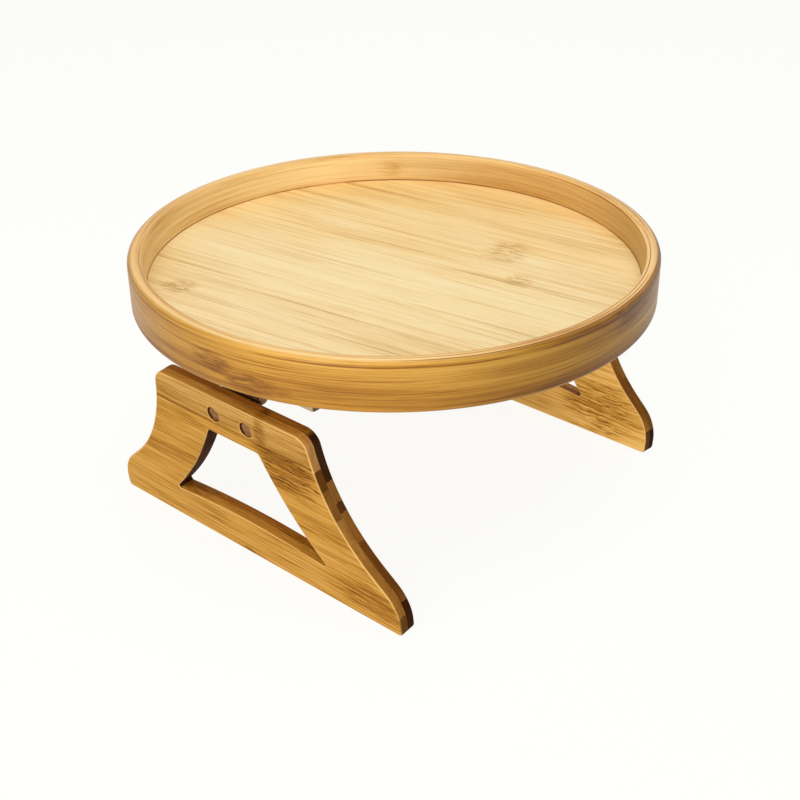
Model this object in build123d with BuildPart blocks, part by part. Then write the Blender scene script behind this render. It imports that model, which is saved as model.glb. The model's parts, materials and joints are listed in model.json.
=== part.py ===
from build123d import *
import os
from math import cos, radians, sin

os.makedirs("parts", exist_ok=True)

# A round bamboo tray that stands astride a sofa arm on two hinged legs.
# The legs' width runs along X, the sofa arm passes through along X, and the near leg is at -Y.
# Z is up, and the origin is on the floor under the middle of the tray.
# Lengths are in millimetres and angles in degrees.

# Tray hoop
tray_radius = 150.0
rim_thickness = 8.0
rim_draft = 1.5
rim_outer_round = 3.0
rim_inner_round = 2.5
rim_bottom_round = 2.5
groove_depth = 3.0
well_depth = 17.5

# Tray floor
floor_thickness = 8.0
floor_rebate = 2.0
underside_recess = 3.0

# Cross board under the floor
board_end_inset = 32.0
board_width = 98.0
board_thickness = 19.0
board_corner_round = 2.0
board_edge_round = 1.0

# Leg plates
leg_thickness = 10.5
leg_height = 105.0
leg_top_width = 116.4
leg_top_round = 9.0
leg_foot_width = 222.0
leg_edge_round = 1.2
leg_lean = 6.75
foot_flare = 16.0
foot_flare_height = 32.0
foot_side_height = 18.1
foot_bulge_round = 26.0
foot_corner_round = 2.5

# Window in each leg
window_margin = 1.0
window_sill_height = 21.0
window_sill_crown = 3.5
top_limb_width = 38.7
foot_limb_width = 49.5
window_hollow = 3.2
window_top_round = 2.5
window_bottom_round = 1.5
window_edge_round = 0.8

# Hinge
hinge_overhang = 2.0
knuckle_count = 5
knuckle_radius = 3.4
barrel_length = 28.0
pin_radius = 1.9
pin_head_lip = 1.0
pin_head_height = 1.0
pin_head_round = 0.7
washer_inset = 0.3
washer_thickness = 0.5
leaf_thickness = 1.5
leaf_width = 36.0
leaf_length = 24.0
leaf_corner_round = 2.5

# Screws that hold each leg, their nuts and the plugs that cover them
hinge_screw_side_margin = 5.5
leg_screw_end_margin = 11.5
leg_screw_radius = 2.0
leg_screw_head_radius = 3.8
nut_flats = 7.0
nut_thickness = 3.2
nut_corner_trim = 0.4
pocket_clearance = 0.8
plug_recess = 1.6
plug_thickness = 3.6
plug_edge_trim = 0.4

# Wood screws from the leaves into the board
leaf_screw_radius = 1.5
leaf_screw_head_radius = 3.0
leaf_screw_length = 14.0
leaf_screw_end_margin = 10.0

# Wood screws from the board into the floor
board_screw_radius = 2.0
board_screw_head_radius = 4.0
board_screw_bite = 6.0
board_screw_side_margin = 16.0
board_screw_end_margin = 48.0

# Shares of a screw's own sizes, for its point and its cross slot
point_length_share = 1.5
point_tip_share = 0.2
slot_reach_share = 0.62
slot_width_share = 0.22
slot_depth_share = 0.45

# Clearances
glue_gap = 0.1
screw_clearance = 0.05
running_clearance = 0.05
washer_clearance = 0.05
knuckle_clearance = 0.3
notch_clearance = 0.4

# Fixed angles and counts of the construction
screw_cone_angle = 90
nut_sides = 6

# Sizes and places that follow from the sizes above
board_length = 2 * (tray_radius - board_end_inset)
board_screw_length = board_thickness + board_screw_bite
board_screw_spacing_x = board_width - 2 * board_screw_side_margin
board_screw_spacing_y = board_length - 2 * board_screw_end_margin
flank_width = leg_foot_width - 2 * foot_flare
flank_drop = leg_height - foot_flare_height
foot_shoulder_drop = leg_height - foot_side_height
window_top_drop = leaf_length + window_margin
window_bottom_drop = leg_height - window_sill_height
window_top_width = leg_top_width - 2 * top_limb_width
window_bottom_width = leg_foot_width - 2 * foot_limb_width
hinge_reach = board_length / 2 + hinge_overhang
hinge_screw_spacing = leaf_width - 2 * hinge_screw_side_margin
leg_screw_drop = leaf_length - leg_screw_end_margin
leaf_screw_drop = leaf_length - leaf_screw_end_margin
pin_head_radius = pin_radius + pin_head_lip
washer_radius = knuckle_radius - washer_inset
pocket_radius = leg_screw_head_radius + pocket_clearance
mount_offset = knuckle_radius + knuckle_clearance
lean_cos = cos(radians(leg_lean))
lean_sin = sin(radians(leg_lean))
outer_face_offset = mount_offset + leg_thickness
foot_reach_down = (leg_height - leg_edge_round) * lean_cos
foot_reach_out = (outer_face_offset - leg_edge_round) * lean_sin
pivot_height = foot_reach_down + foot_reach_out + leg_edge_round
board_bottom = pivot_height + mount_offset
floor_bottom = board_bottom + board_thickness
floor_top = floor_bottom + floor_thickness
rim_bottom = floor_bottom - underside_recess
rim_top = floor_top + well_depth
rim_inner_radius = tray_radius - rim_thickness
floor_edge_radius = rim_inner_radius - rim_draft
groove_radius = rim_inner_radius + groove_depth
groove_top = floor_top - floor_rebate
knuckle_gap = washer_thickness + washer_clearance
knuckle_length = (barrel_length - (knuckle_count - 1) * knuckle_gap) / knuckle_count
knuckle_pitch = knuckle_length + knuckle_gap
neck_length = knuckle_radius + notch_clearance
leaf_face_offset = mount_offset - leaf_thickness
bore_radius = pin_radius + running_clearance
pocket_depth = plug_recess + plug_thickness
leg_screw_length = leg_thickness - pocket_depth + leaf_thickness + nut_thickness
leg_screw_places = [(half * hinge_screw_spacing / 2, leg_screw_drop) for half in (-1, 1)]
leaf_screw_places = [(half * hinge_screw_spacing / 2, leaf_screw_drop) for half in (-1, 1)]


def knuckle_centres(first):
    """Middles along the pin of every second knuckle, from the given one."""
    start = (knuckle_length - barrel_length) / 2
    return [start + index * knuckle_pitch for index in range(first, knuckle_count, 2)]


def across(frame, distance):
    """Plane square to the frame's x axis, at a distance along it, whose own x axis is the frame's y."""
    origin = frame.origin + frame.x_dir * distance
    return Plane(origin=origin, x_dir=frame.y_dir, z_dir=frame.x_dir)


def screw_blank(radius, head_radius, length):
    """One countersunk screw with its head flush with z = 0, pointing down."""
    head_height = head_radius - radius
    point_length = radius * point_length_share
    point_radius = radius * point_tip_share
    slot_reach = head_radius * slot_reach_share
    slot_width = head_radius * slot_width_share
    with BuildPart() as blank:
        with BuildSketch(Plane.XZ):
            with BuildLine():
                Polyline(
                    (0, 0),
                    (head_radius, 0),
                    (radius, -head_height),
                    (radius, point_length - length),
                    (point_radius, -length),
                    (0, -length),
                    close=True,
                )
            make_face()
        revolve(axis=Axis.Z)
        with BuildSketch(Plane.XY):
            Rectangle(2 * slot_reach, slot_width)
            Rectangle(slot_width, 2 * slot_reach)
        extrude(amount=-head_height * slot_depth_share, mode=Mode.SUBTRACT)
    return blank.part


def hinge_leaf(frame, first_knuckle):
    """Leaf whose own y axis runs away from the pin, and whose z axis points at the wood that holds it."""
    centres = knuckle_centres(first_knuckle)
    with BuildPart() as leaf:
        with BuildSketch(frame.offset(leaf_face_offset)):
            with Locations((0, (neck_length + leaf_length) / 2)):
                Rectangle(leaf_width, leaf_length - neck_length)
            fillet(vertices(), leaf_corner_round)
            with Locations(*[(centre, 0) for centre in centres]):
                Rectangle(knuckle_length, neck_length + leaf_corner_round, align=(Align.CENTER, Align.MIN))
        extrude(amount=leaf_thickness)
        for centre in centres:
            with BuildSketch(across(frame, centre)):
                Circle(knuckle_radius)
            extrude(amount=knuckle_length / 2, both=True)
        with BuildSketch(across(frame, 0)):
            Circle(bore_radius)
        extrude(amount=barrel_length, both=True, mode=Mode.SUBTRACT)
    return leaf.part


def save(part, label):
    """Name a finished piece and write it to its own file."""
    part.label = label
    export_step(part, f"parts/{label}.step")


# Tray hoop: a turned section with a groove below that the floor is let into
with BuildPart() as tray_rim:
    with BuildSketch(Plane.XZ):
        with BuildLine():
            Polyline(
                (tray_radius, rim_bottom),
                (tray_radius, rim_top),
                (rim_inner_radius, rim_top),
                (floor_edge_radius, floor_top),
                (floor_edge_radius, groove_top),
                (groove_radius, groove_top),
                (groove_radius, rim_bottom),
                close=True,
            )
        make_face()
        top_corners = vertices().group_by(Axis.Y)[-1].sort_by(Axis.X)
        fillet(top_corners[-1], rim_outer_round)
        inner_corner = vertices().group_by(Axis.Y)[-1].sort_by(Axis.X)[0]
        fillet(inner_corner, rim_inner_round)
        outer_foot = vertices().group_by(Axis.Y)[0].sort_by(Axis.X)[-1]
        fillet(outer_foot, rim_bottom_round)
    revolve(axis=Axis.Z)
save(tray_rim.part, "tray_rim")

# Tray floor: a disc of glued strips, rebated at its edge, with blind holes below for the board's screws
with BuildPart() as tray_floor:
    with BuildSketch(Plane.XY.offset(floor_bottom)):
        Circle(groove_radius - glue_gap)
    extrude(amount=floor_thickness - floor_rebate)
    with BuildSketch(Plane.XY.offset(floor_bottom)):
        Circle(floor_edge_radius - glue_gap)
    extrude(amount=floor_thickness)
    with BuildSketch(Plane.XY.offset(floor_bottom)):
        with GridLocations(board_screw_spacing_x, board_screw_spacing_y, 2, 2):
            Circle(board_screw_radius + screw_clearance)
    extrude(amount=board_screw_length - board_thickness + screw_clearance, mode=Mode.SUBTRACT)
save(tray_floor.part, "tray_floor")

# Cross board: screwed up into the floor, with blind holes near its ends for the hinge leaves
board_underside = Plane(origin=(0, 0, board_bottom), x_dir=(1, 0, 0), z_dir=(0, 0, -1))
with BuildPart() as cross_board:
    with BuildSketch(Plane.XY.offset(board_bottom)):
        RectangleRounded(board_width, board_length, board_corner_round)
    extrude(amount=board_thickness)
    fillet(faces().sort_by(Axis.Z)[0].edges(), board_edge_round)
    with Locations(board_underside):
        with GridLocations(board_screw_spacing_x, board_screw_spacing_y, 2, 2):
            CounterSinkHole(
                board_screw_radius + screw_clearance,
                board_screw_head_radius + screw_clearance,
                counter_sink_angle=screw_cone_angle,
            )
        with GridLocations(hinge_screw_spacing, 2 * (hinge_reach - leaf_screw_drop), 2, 2):
            Hole(leaf_screw_radius + screw_clearance, leaf_screw_length - leaf_thickness + screw_clearance)
save(cross_board.part, "cross_board")

# Screws from the board into the floor
board_screw = screw_blank(board_screw_radius, board_screw_head_radius, board_screw_length)
with BuildPart() as cross_board_screws:
    with Locations(board_underside):
        with GridLocations(board_screw_spacing_x, board_screw_spacing_y, 2, 2):
            add(board_screw)
save(cross_board_screws.part, "cross_board_screws")

# Blanks of the two smaller screws
leg_screw = screw_blank(leg_screw_radius, leg_screw_head_radius, leg_screw_length)
leaf_screw = screw_blank(leaf_screw_radius, leaf_screw_head_radius, leaf_screw_length)

# Each side has its own leg and hinge, the far side turned half a circle about Z
for name, side in (("near", -1), ("far", 1)):
    pivot = (0, side * hinge_reach, pivot_height)
    # Frame of the leaf under the board: y runs inwards along the leaf and z points up at the board
    board_frame = Plane(origin=pivot, x_dir=(-side, 0, 0), z_dir=(0, 0, 1))
    # Frame of the leaf on the leg: y runs down along the leaf and z points out at the leg
    leg_frame = Plane(origin=pivot, x_dir=(side, 0, 0), z_dir=(0, side * lean_cos, -lean_sin))
    outer_face = leg_frame.offset(outer_face_offset)
    pocket_floor = outer_face.offset(-pocket_depth)
    leaf_face = board_frame.offset(leaf_face_offset)
    leaf_underside = Plane(origin=leaf_face.origin, x_dir=(side, 0, 0), z_dir=(0, 0, -1))
    through_leg = Axis(pivot, leg_frame.z_dir)

    # Leg plate: flared feet, a window and two pockets for the screws
    with BuildPart() as leg:
        with BuildSketch(leg_frame.offset(mount_offset)):
            with BuildLine():
                flank_end = (flank_width / 2, flank_drop)
                up_the_flare = (-foot_flare, flank_drop - foot_shoulder_drop)
                flank = TangentArc(flank_end, (leg_top_width / 2, 0), tangent=up_the_flare)
                Line((0, 0), flank @ 1)
                Polyline(
                    flank_end,
                    (leg_foot_width / 2, foot_shoulder_drop),
                    (leg_foot_width / 2, leg_height),
                    (0, leg_height),
                )
                mirror(about=Plane.YZ)
            make_face()
            fillet(vertices().group_by(Axis.Y)[0], leg_top_round)
            fillet(vertices().group_by(Axis.Y)[-2], foot_bulge_round)
            fillet(vertices().group_by(Axis.Y)[-1], foot_corner_round)
        extrude(amount=leg_thickness)
        for broad_face in (faces().sort_by(through_leg)[0], faces().sort_by(through_leg)[-1]):
            fillet(broad_face.edges(), leg_edge_round)
        with BuildSketch(leg_frame.offset(mount_offset)):
            with BuildLine():
                jamb = SagittaArc(
                    (window_top_width / 2, window_top_drop),
                    (window_bottom_width / 2, window_bottom_drop),
                    window_hollow,
                )
                Line((0, window_top_drop), jamb @ 0)
                TangentArc((0, window_bottom_drop - window_sill_crown), jamb @ 1, tangent=(1, 0))
                mirror(about=Plane.YZ)
            make_face()
            fillet(vertices().group_by(Axis.Y)[0], window_top_round)
            fillet(vertices().group_by(Axis.Y)[-1], window_bottom_round)
        extrude(amount=leg_thickness, mode=Mode.SUBTRACT)
        for broad_face in (faces().sort_by(through_leg)[0], faces().sort_by(through_leg)[-1]):
            fillet(broad_face.inner_wires()[0].edges(), window_edge_round)
        with BuildSketch(outer_face):
            with Locations(*leg_screw_places):
                Circle(pocket_radius)
        extrude(amount=-pocket_depth, mode=Mode.SUBTRACT)
        with Locations(pocket_floor):
            with Locations(*leg_screw_places):
                CounterSinkHole(
                    leg_screw_radius + screw_clearance,
                    leg_screw_head_radius + screw_clearance,
                    counter_sink_angle=screw_cone_angle,
                )
    save(leg.part, f"{name}_leg")

    # Plugs that cover the screws, a little below the leg's outer face
    with BuildPart() as plugs:
        with BuildSketch(pocket_floor):
            with Locations(*leg_screw_places):
                Circle(pocket_radius - glue_gap)
        extrude(amount=plug_thickness)
        chamfer(edges().group_by(through_leg)[-1], plug_edge_trim)
    save(plugs.part, f"{name}_leg_plugs")

    # Machine screws from the pockets through the leg and its leaf
    with BuildPart() as leg_screws:
        with Locations(pocket_floor):
            with Locations(*leg_screw_places):
                add(leg_screw)
    save(leg_screws.part, f"{name}_leg_screws")

    # Hexagon nuts behind the leaf
    with BuildPart() as leg_nuts:
        with BuildSketch(leg_frame.offset(leaf_face_offset)):
            with Locations(*leg_screw_places):
                RegularPolygon(nut_flats / 2, nut_sides, major_radius=False)
        extrude(amount=-nut_thickness)
        chamfer(edges().group_by(through_leg)[0], nut_corner_trim)
        with BuildSketch(leg_frame.offset(leaf_face_offset)):
            with Locations(*leg_screw_places):
                Circle(leg_screw_radius + screw_clearance)
        extrude(amount=-nut_thickness, mode=Mode.SUBTRACT)
    save(leg_nuts.part, f"{name}_leg_nuts")

    # Leaf on the leg, with the second and fourth knuckles
    with BuildPart() as leg_leaf:
        add(hinge_leaf(leg_frame, first_knuckle=1))
        with Locations(leg_frame.offset(mount_offset)):
            with Locations(*leg_screw_places):
                Hole(leg_screw_radius + screw_clearance, leaf_thickness)
    save(leg_leaf.part, f"{name}_leg_leaf")

    # Leaf under the board, with the first, middle and last knuckles
    with BuildPart() as board_leaf:
        add(hinge_leaf(board_frame, first_knuckle=0))
        with Locations(leaf_underside):
            with Locations(*leaf_screw_places):
                CounterSinkHole(
                    leaf_screw_radius + screw_clearance,
                    leaf_screw_head_radius + screw_clearance,
                    leaf_thickness,
                    counter_sink_angle=screw_cone_angle,
                )
    save(board_leaf.part, f"{name}_board_leaf")

    # Wood screws from that leaf up into the board
    with BuildPart() as leaf_screws:
        with Locations(leaf_underside):
            with Locations(*leaf_screw_places):
                add(leaf_screw)
    save(leaf_screws.part, f"{name}_board_leaf_screws")

    # Headed pin through all the knuckles
    with BuildPart() as hinge_pin:
        with BuildSketch(across(board_frame, 0)):
            Circle(pin_radius)
        extrude(amount=barrel_length / 2, both=True)
        for end in (-1, 1):
            with BuildSketch(across(board_frame, end * barrel_length / 2)):
                Circle(pin_head_radius)
            extrude(amount=end * pin_head_height)
        edges_along_pin = edges().filter_by(GeomType.CIRCLE).group_by(Axis.X)
        fillet(edges_along_pin[0] + edges_along_pin[-1], pin_head_round)
    save(hinge_pin.part, f"{name}_hinge_pin")

    # Spring washers in the gaps between the knuckles, each against a knuckle of the board's leaf
    with BuildPart() as washers:
        for gap in range(knuckle_count - 1):
            gap_start = (gap + 1) * knuckle_length + gap * knuckle_gap - barrel_length / 2
            washer_start = gap_start + (gap % 2) * washer_clearance
            with BuildSketch(across(board_frame, washer_start)):
                Circle(washer_radius)
                Circle(bore_radius, mode=Mode.SUBTRACT)
            extrude(amount=washer_thickness)
    save(washers.part, f"{name}_hinge_washers")
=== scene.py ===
"""Looks of a round bamboo tray that stands astride a sofa arm on two hinged legs.

Metres throughout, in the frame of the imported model, but the wood's figure is worked out in millimetres.
The sofa arm passes through along X, the near leg is at -Y, Z is up and the origin is on the floor under
the middle of the tray.
"""

import functools
import json
import logging
import math
from collections.abc import Iterable, Sequence
from dataclasses import dataclass, field, replace
from enum import Enum
from typing import Any

import bmesh
import bpy
from mathutils import Matrix, Vector
from mathutils.geometry import tessellate_polygon

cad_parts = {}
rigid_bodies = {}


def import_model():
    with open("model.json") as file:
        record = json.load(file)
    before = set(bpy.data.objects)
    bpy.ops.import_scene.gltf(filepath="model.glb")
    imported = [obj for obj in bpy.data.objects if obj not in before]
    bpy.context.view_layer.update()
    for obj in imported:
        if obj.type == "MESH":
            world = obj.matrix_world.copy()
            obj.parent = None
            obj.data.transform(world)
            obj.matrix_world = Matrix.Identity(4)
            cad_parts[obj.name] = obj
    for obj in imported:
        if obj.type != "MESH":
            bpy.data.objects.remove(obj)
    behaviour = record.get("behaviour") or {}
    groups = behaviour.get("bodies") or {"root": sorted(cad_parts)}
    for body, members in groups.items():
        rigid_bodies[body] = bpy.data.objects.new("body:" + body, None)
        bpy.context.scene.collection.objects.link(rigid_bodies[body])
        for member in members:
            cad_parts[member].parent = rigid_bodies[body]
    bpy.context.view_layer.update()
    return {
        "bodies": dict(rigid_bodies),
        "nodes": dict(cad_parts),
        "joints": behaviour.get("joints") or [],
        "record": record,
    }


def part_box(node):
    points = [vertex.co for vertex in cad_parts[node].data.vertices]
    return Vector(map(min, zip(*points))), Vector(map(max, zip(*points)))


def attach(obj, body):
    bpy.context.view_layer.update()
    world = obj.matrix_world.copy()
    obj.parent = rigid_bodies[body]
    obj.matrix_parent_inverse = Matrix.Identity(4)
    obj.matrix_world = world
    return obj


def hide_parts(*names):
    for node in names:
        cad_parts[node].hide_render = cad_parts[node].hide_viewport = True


LOG = logging.getLogger("arm_tray")
MM = 0.001

Colour = tuple[float, float, float]
Stops = tuple[tuple[float, Colour], ...]
Ring = list[Vector]


class Slot(Enum):
    """Material slots of the record, as the pieces use them."""

    RIM = "rim_bamboo"
    FLOOR = "floor_bamboo"
    BOARD = "board_bamboo"
    LEG = "leg_bamboo"
    PLUG = "plug_bamboo"
    HINGE = "hinge_steel"
    PIN = "pin_steel"
    WASHER = "washer_steel"
    SCREW = "screw_steel"


class Side(Enum):
    """The two legs, with the sign of the Y axis on which each stands."""

    NEAR = -1
    FAR = 1

    @property
    def word(self) -> str:
        """Name of the side as the nodes spell it."""
        return self.name.lower()


def linear(colour: Colour) -> tuple[float, float, float, float]:
    """Turn a colour of 0 to 255 as seen on a screen into the numbers that a shader takes.

    Args:
        colour: Red, green and blue.

    Returns:
        Linear red, green and blue, and an alpha of 1.
    """
    low_end, slope, offset, power = 0.04045, 12.92, 0.055, 2.4
    shares = [part / 255 for part in colour]
    parts = [s / slope if s <= low_end else ((s + offset) / (1 + offset)) ** power for s in shares]
    return (parts[0], parts[1], parts[2], 1.0)


def new_material(name: str) -> bpy.types.Material:
    """Make a material with a node tree.

    Args:
        name: Its name.

    Returns:
        The material.
    """
    material = bpy.data.materials.new(name)
    material.use_nodes = True
    return material


def new_object(name: str, data: Any) -> bpy.types.Object:
    """Make an object of some data and put it in the scene.

    Args:
        name: Its name.
        data: A mesh, a lamp or a camera.

    Returns:
        The object.
    """
    made = bpy.data.objects.new(name, data)
    bpy.context.scene.collection.objects.link(made)
    return made


class NodeBook:
    """A node tree that is being written, for a material or for a shape."""

    colour_mix_sockets = (0, 6, 7)
    colour_mix_output = 2

    def __init__(self, tree: bpy.types.NodeTree) -> None:
        """Start with an empty tree."""
        self.tree = tree
        tree.nodes.clear()

    def node(
        self, kind: str, settings: dict[str, Any] | None = None, sockets: dict[int | str, Any] | None = None
    ) -> bpy.types.Node:
        """Add one node.

        Args:
            kind: The node's type.
            settings: Its properties, or stops for a ramp or items for an index switch, set first.
            sockets: Values or links of its inputs, by name or number.

        Returns:
            The new node.
        """
        node = self.tree.nodes.new(kind)
        for key, value in (settings or {}).items():
            if key == "stops":
                self._set_stops(node.color_ramp, value)
            elif key == "items":
                for _ in range(value - len(node.index_switch_items)):
                    node.index_switch_items.new()
            else:
                setattr(node, key, value)
        for key, value in (sockets or {}).items():
            self.feed(node.inputs[key], value)
        return node

    @staticmethod
    def _set_stops(ramp: bpy.types.ColorRamp, stops: Stops) -> None:
        """Give a ramp its stops, from the left.

        Args:
            ramp: The ramp.
            stops: Position and screen colour of each.
        """
        while len(ramp.elements) < len(stops):
            ramp.elements.new(1.0)
        for element, (position, colour) in zip(ramp.elements, stops):
            element.position = position
            element.color = linear(colour)

    def feed(self, socket: bpy.types.NodeSocket, value: Any) -> None:
        """Link a socket or set its value.

        Args:
            socket: The input.
            value: A number in the tree, another socket, or a plain value.
        """
        source = value.socket if isinstance(value, Num) else value
        if isinstance(source, bpy.types.NodeSocket):
            self.tree.links.new(source, socket)
        else:
            socket.default_value = source

    def maths(self, operation: str, *terms: "Num | float") -> "Num":
        """Add a Math node on one to three numbers."""
        node = self.node("ShaderNodeMath", {"operation": operation}, dict(enumerate(terms)))
        return Num(self, node.outputs[0])

    def vector(self, x: "Num | float", y: "Num | float", z: "Num | float") -> bpy.types.NodeSocket:
        """Join three numbers into a vector socket."""
        return self.node("ShaderNodeCombineXYZ", None, {0: x, 1: y, 2: z}).outputs[0]

    def dot(self, vector: bpy.types.NodeSocket, direction: Sequence[float]) -> "Num":
        """Length of a vector socket along a fixed direction."""
        settings, sockets = {"operation": "DOT_PRODUCT"}, {0: vector, 1: tuple(direction)}
        return Num(self, self.node("ShaderNodeVectorMath", settings, sockets).outputs["Value"])

    def parts(self, vector: bpy.types.NodeSocket, scale: float = 1.0) -> "tuple[Num, ...]":
        """Split a vector socket into its three numbers, scaled where a scale is given."""
        numbers = (Num(self, part) for part in self.node("ShaderNodeSeparateXYZ", None, {0: vector}).outputs)
        return tuple(number if scale == 1.0 else number * scale for number in numbers)

    def blend(self, factor: "Num", first: Any, second: Any, way: str = "MIX") -> bpy.types.NodeSocket:
        """Mix two colours.

        Args:
            factor: 0 for the first, 1 for the second.
            first: A colour or a colour socket.
            second: The other.
            way: How they are joined.

        Returns:
            The colour socket.
        """
        sockets = dict(zip(self.colour_mix_sockets, (factor, first, second)))
        node = self.node("ShaderNodeMix", {"data_type": "RGBA", "blend_type": way}, sockets)
        return node.outputs[self.colour_mix_output]

    def pores(self, place: bpy.types.NodeSocket, style: "PoreStyle") -> "Num":
        """Draw round pores.

        Args:
            place: The place, as a vector socket.
            style: How the pores stand and fade.

        Returns:
            1 in each pore and 0 between them.
        """
        settings = {"voronoi_dimensions": style.dimensions}
        node = self.node("ShaderNodeTexVoronoi", settings, {"Vector": place, "Scale": style.scale})
        return Num(self, node.outputs["Distance"]).rise(style.edge, style.core)

    def bump(self, depth: float, height: "Num") -> bpy.types.NodeSocket:
        """Normal of a relief whose full height is a depth in millimetres."""
        sockets = {"Strength": 1.0, "Distance": depth * MM, "Height": height}
        return self.node("ShaderNodeBump", None, sockets).outputs[0]

    def finish_surface(self, sockets: dict[str, Any]) -> None:
        """Set the sockets of the one surface shader and lead it to the output."""
        surface = self.node("ShaderNodeBsdfPrincipled", None, sockets)
        self.node("ShaderNodeOutputMaterial", None, {"Surface": surface.outputs[0]})


@dataclass(frozen=True)
class Num:
    """A number in a node tree, on which Python's operators work by adding Math nodes."""

    book: NodeBook
    socket: bpy.types.NodeSocket

    def __add__(self, other: "Num | float") -> "Num":
        """Sum."""
        return self.book.maths("ADD", self, other)

    __radd__ = __add__

    def __sub__(self, other: "Num | float") -> "Num":
        """Difference."""
        return self.book.maths("SUBTRACT", self, other)

    def __rsub__(self, other: float) -> "Num":
        """Difference from a plain number."""
        return self.book.maths("SUBTRACT", other, self)

    def __mul__(self, other: "Num | float") -> "Num":
        """Product."""
        return self.book.maths("MULTIPLY", self, other)

    __rmul__ = __mul__

    def __truediv__(self, other: "Num | float") -> "Num":
        """Quotient."""
        return self.book.maths("DIVIDE", self, other)

    def __rtruediv__(self, other: float) -> "Num":
        """Quotient of a plain number."""
        return self.book.maths("DIVIDE", other, self)

    def __pow__(self, other: float) -> "Num":
        """Power."""
        return self.book.maths("POWER", self, other)

    def __abs__(self) -> "Num":
        """Size without sign."""
        return self.book.maths("ABSOLUTE", self)

    def whole(self) -> "Num":
        """Largest whole number below."""
        return self.book.maths("FLOOR", self)

    def fraction(self) -> "Num":
        """What is left above the whole number."""
        return self.book.maths("FRACT", self)

    def larger(self, other: "Num | float") -> "Num":
        """The larger of two numbers."""
        return self.book.maths("MAXIMUM", self, other)

    def rise(self, low: float, high: float) -> "Num":
        """Smooth step.

        Args:
            low: Where it starts to leave 0.
            high: Where it has reached 1; below low, the step falls instead.

        Returns:
            A number from 0 to 1.
        """
        ends = {"From Min": min(low, high), "From Max": max(low, high)}
        levels = {"To Min": 0.0 if low < high else 1.0, "To Max": 1.0 if low < high else 0.0}
        settings = {"interpolation_type": "SMOOTHSTEP"}
        node = self.book.node("ShaderNodeMapRange", settings, {"Value": self, **ends, **levels})
        return Num(self.book, node.outputs[0])


Place = tuple[Num | float, Num | float, Num, Num | float]


@dataclass(frozen=True)
class Pattern:
    """Noise drawn out along the grain: a feature's size along and across it, octaves and a seed."""

    length: float
    width: float
    detail: float = 2.0
    seed: float = 0.0


@dataclass(frozen=True)
class PoreStyle:
    """Pores: the noise's dimensions, how close they stand, and the reach of their edge and core."""

    dimensions: str
    scale: float
    edge: float
    core: float


@dataclass(frozen=True)
class Knot:
    """A node of the cane that shows as a patch of broken, wavy fibres, in millimetres.

    Along is a place along the grain, or an angle in degrees on a hoop. A knot is cut off where its own
    strip of wood starts, at strip_start across the grain.
    """

    along: float
    across: float
    reach_along: float
    reach_across: float
    darkness: float = 1.0
    depth: float = 0.0
    reach_depth: float = 1000.0
    strip_start: float | None = None


@dataclass(frozen=True)
class StreakStyle:
    """Dark fibre bundles: their length, width, where the noise turns dark, and how dark."""

    length: float
    width: float
    start: float
    full: float
    weight: float


@dataclass(frozen=True)
class BambooFinish:
    """Colours and figure of one kind of bamboo piece, in millimetres.

    Pairs are the length and width of a feature.
    """

    name: str
    tones: Stops
    streaks: tuple[StreakStyle, ...] = ()
    knots: tuple[Knot, ...] = ()
    strip_width: float = 20.0
    strip_shift: float = 0.0
    strip_weight: float = 0.1
    joint_weight: float = 0.15
    broad: tuple[float, float] = (170.0, 24.0)
    broad_weight: float = 0.9
    vein: tuple[float, float] = (80.0, 2.4)
    vein_weight: float = 1.0
    stroke: tuple[float, float] = (12.0, 1.1)
    ripple_pitch: float = 0.0
    ripple_weight: float = 0.0
    knot_weight: float = 0.26
    knot_shade: float = 0.1
    spot_weight: float = 0.0
    wave: tuple[float, float] = (18.0, 13.0)
    swing: float = 7.0
    seed: float = 0.0
    roughness: float = 0.45
    specular: float = 0.25
    coat: float = 0.08
    coat_roughness: float = 0.3
    bump_depth: float = 0.12


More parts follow.
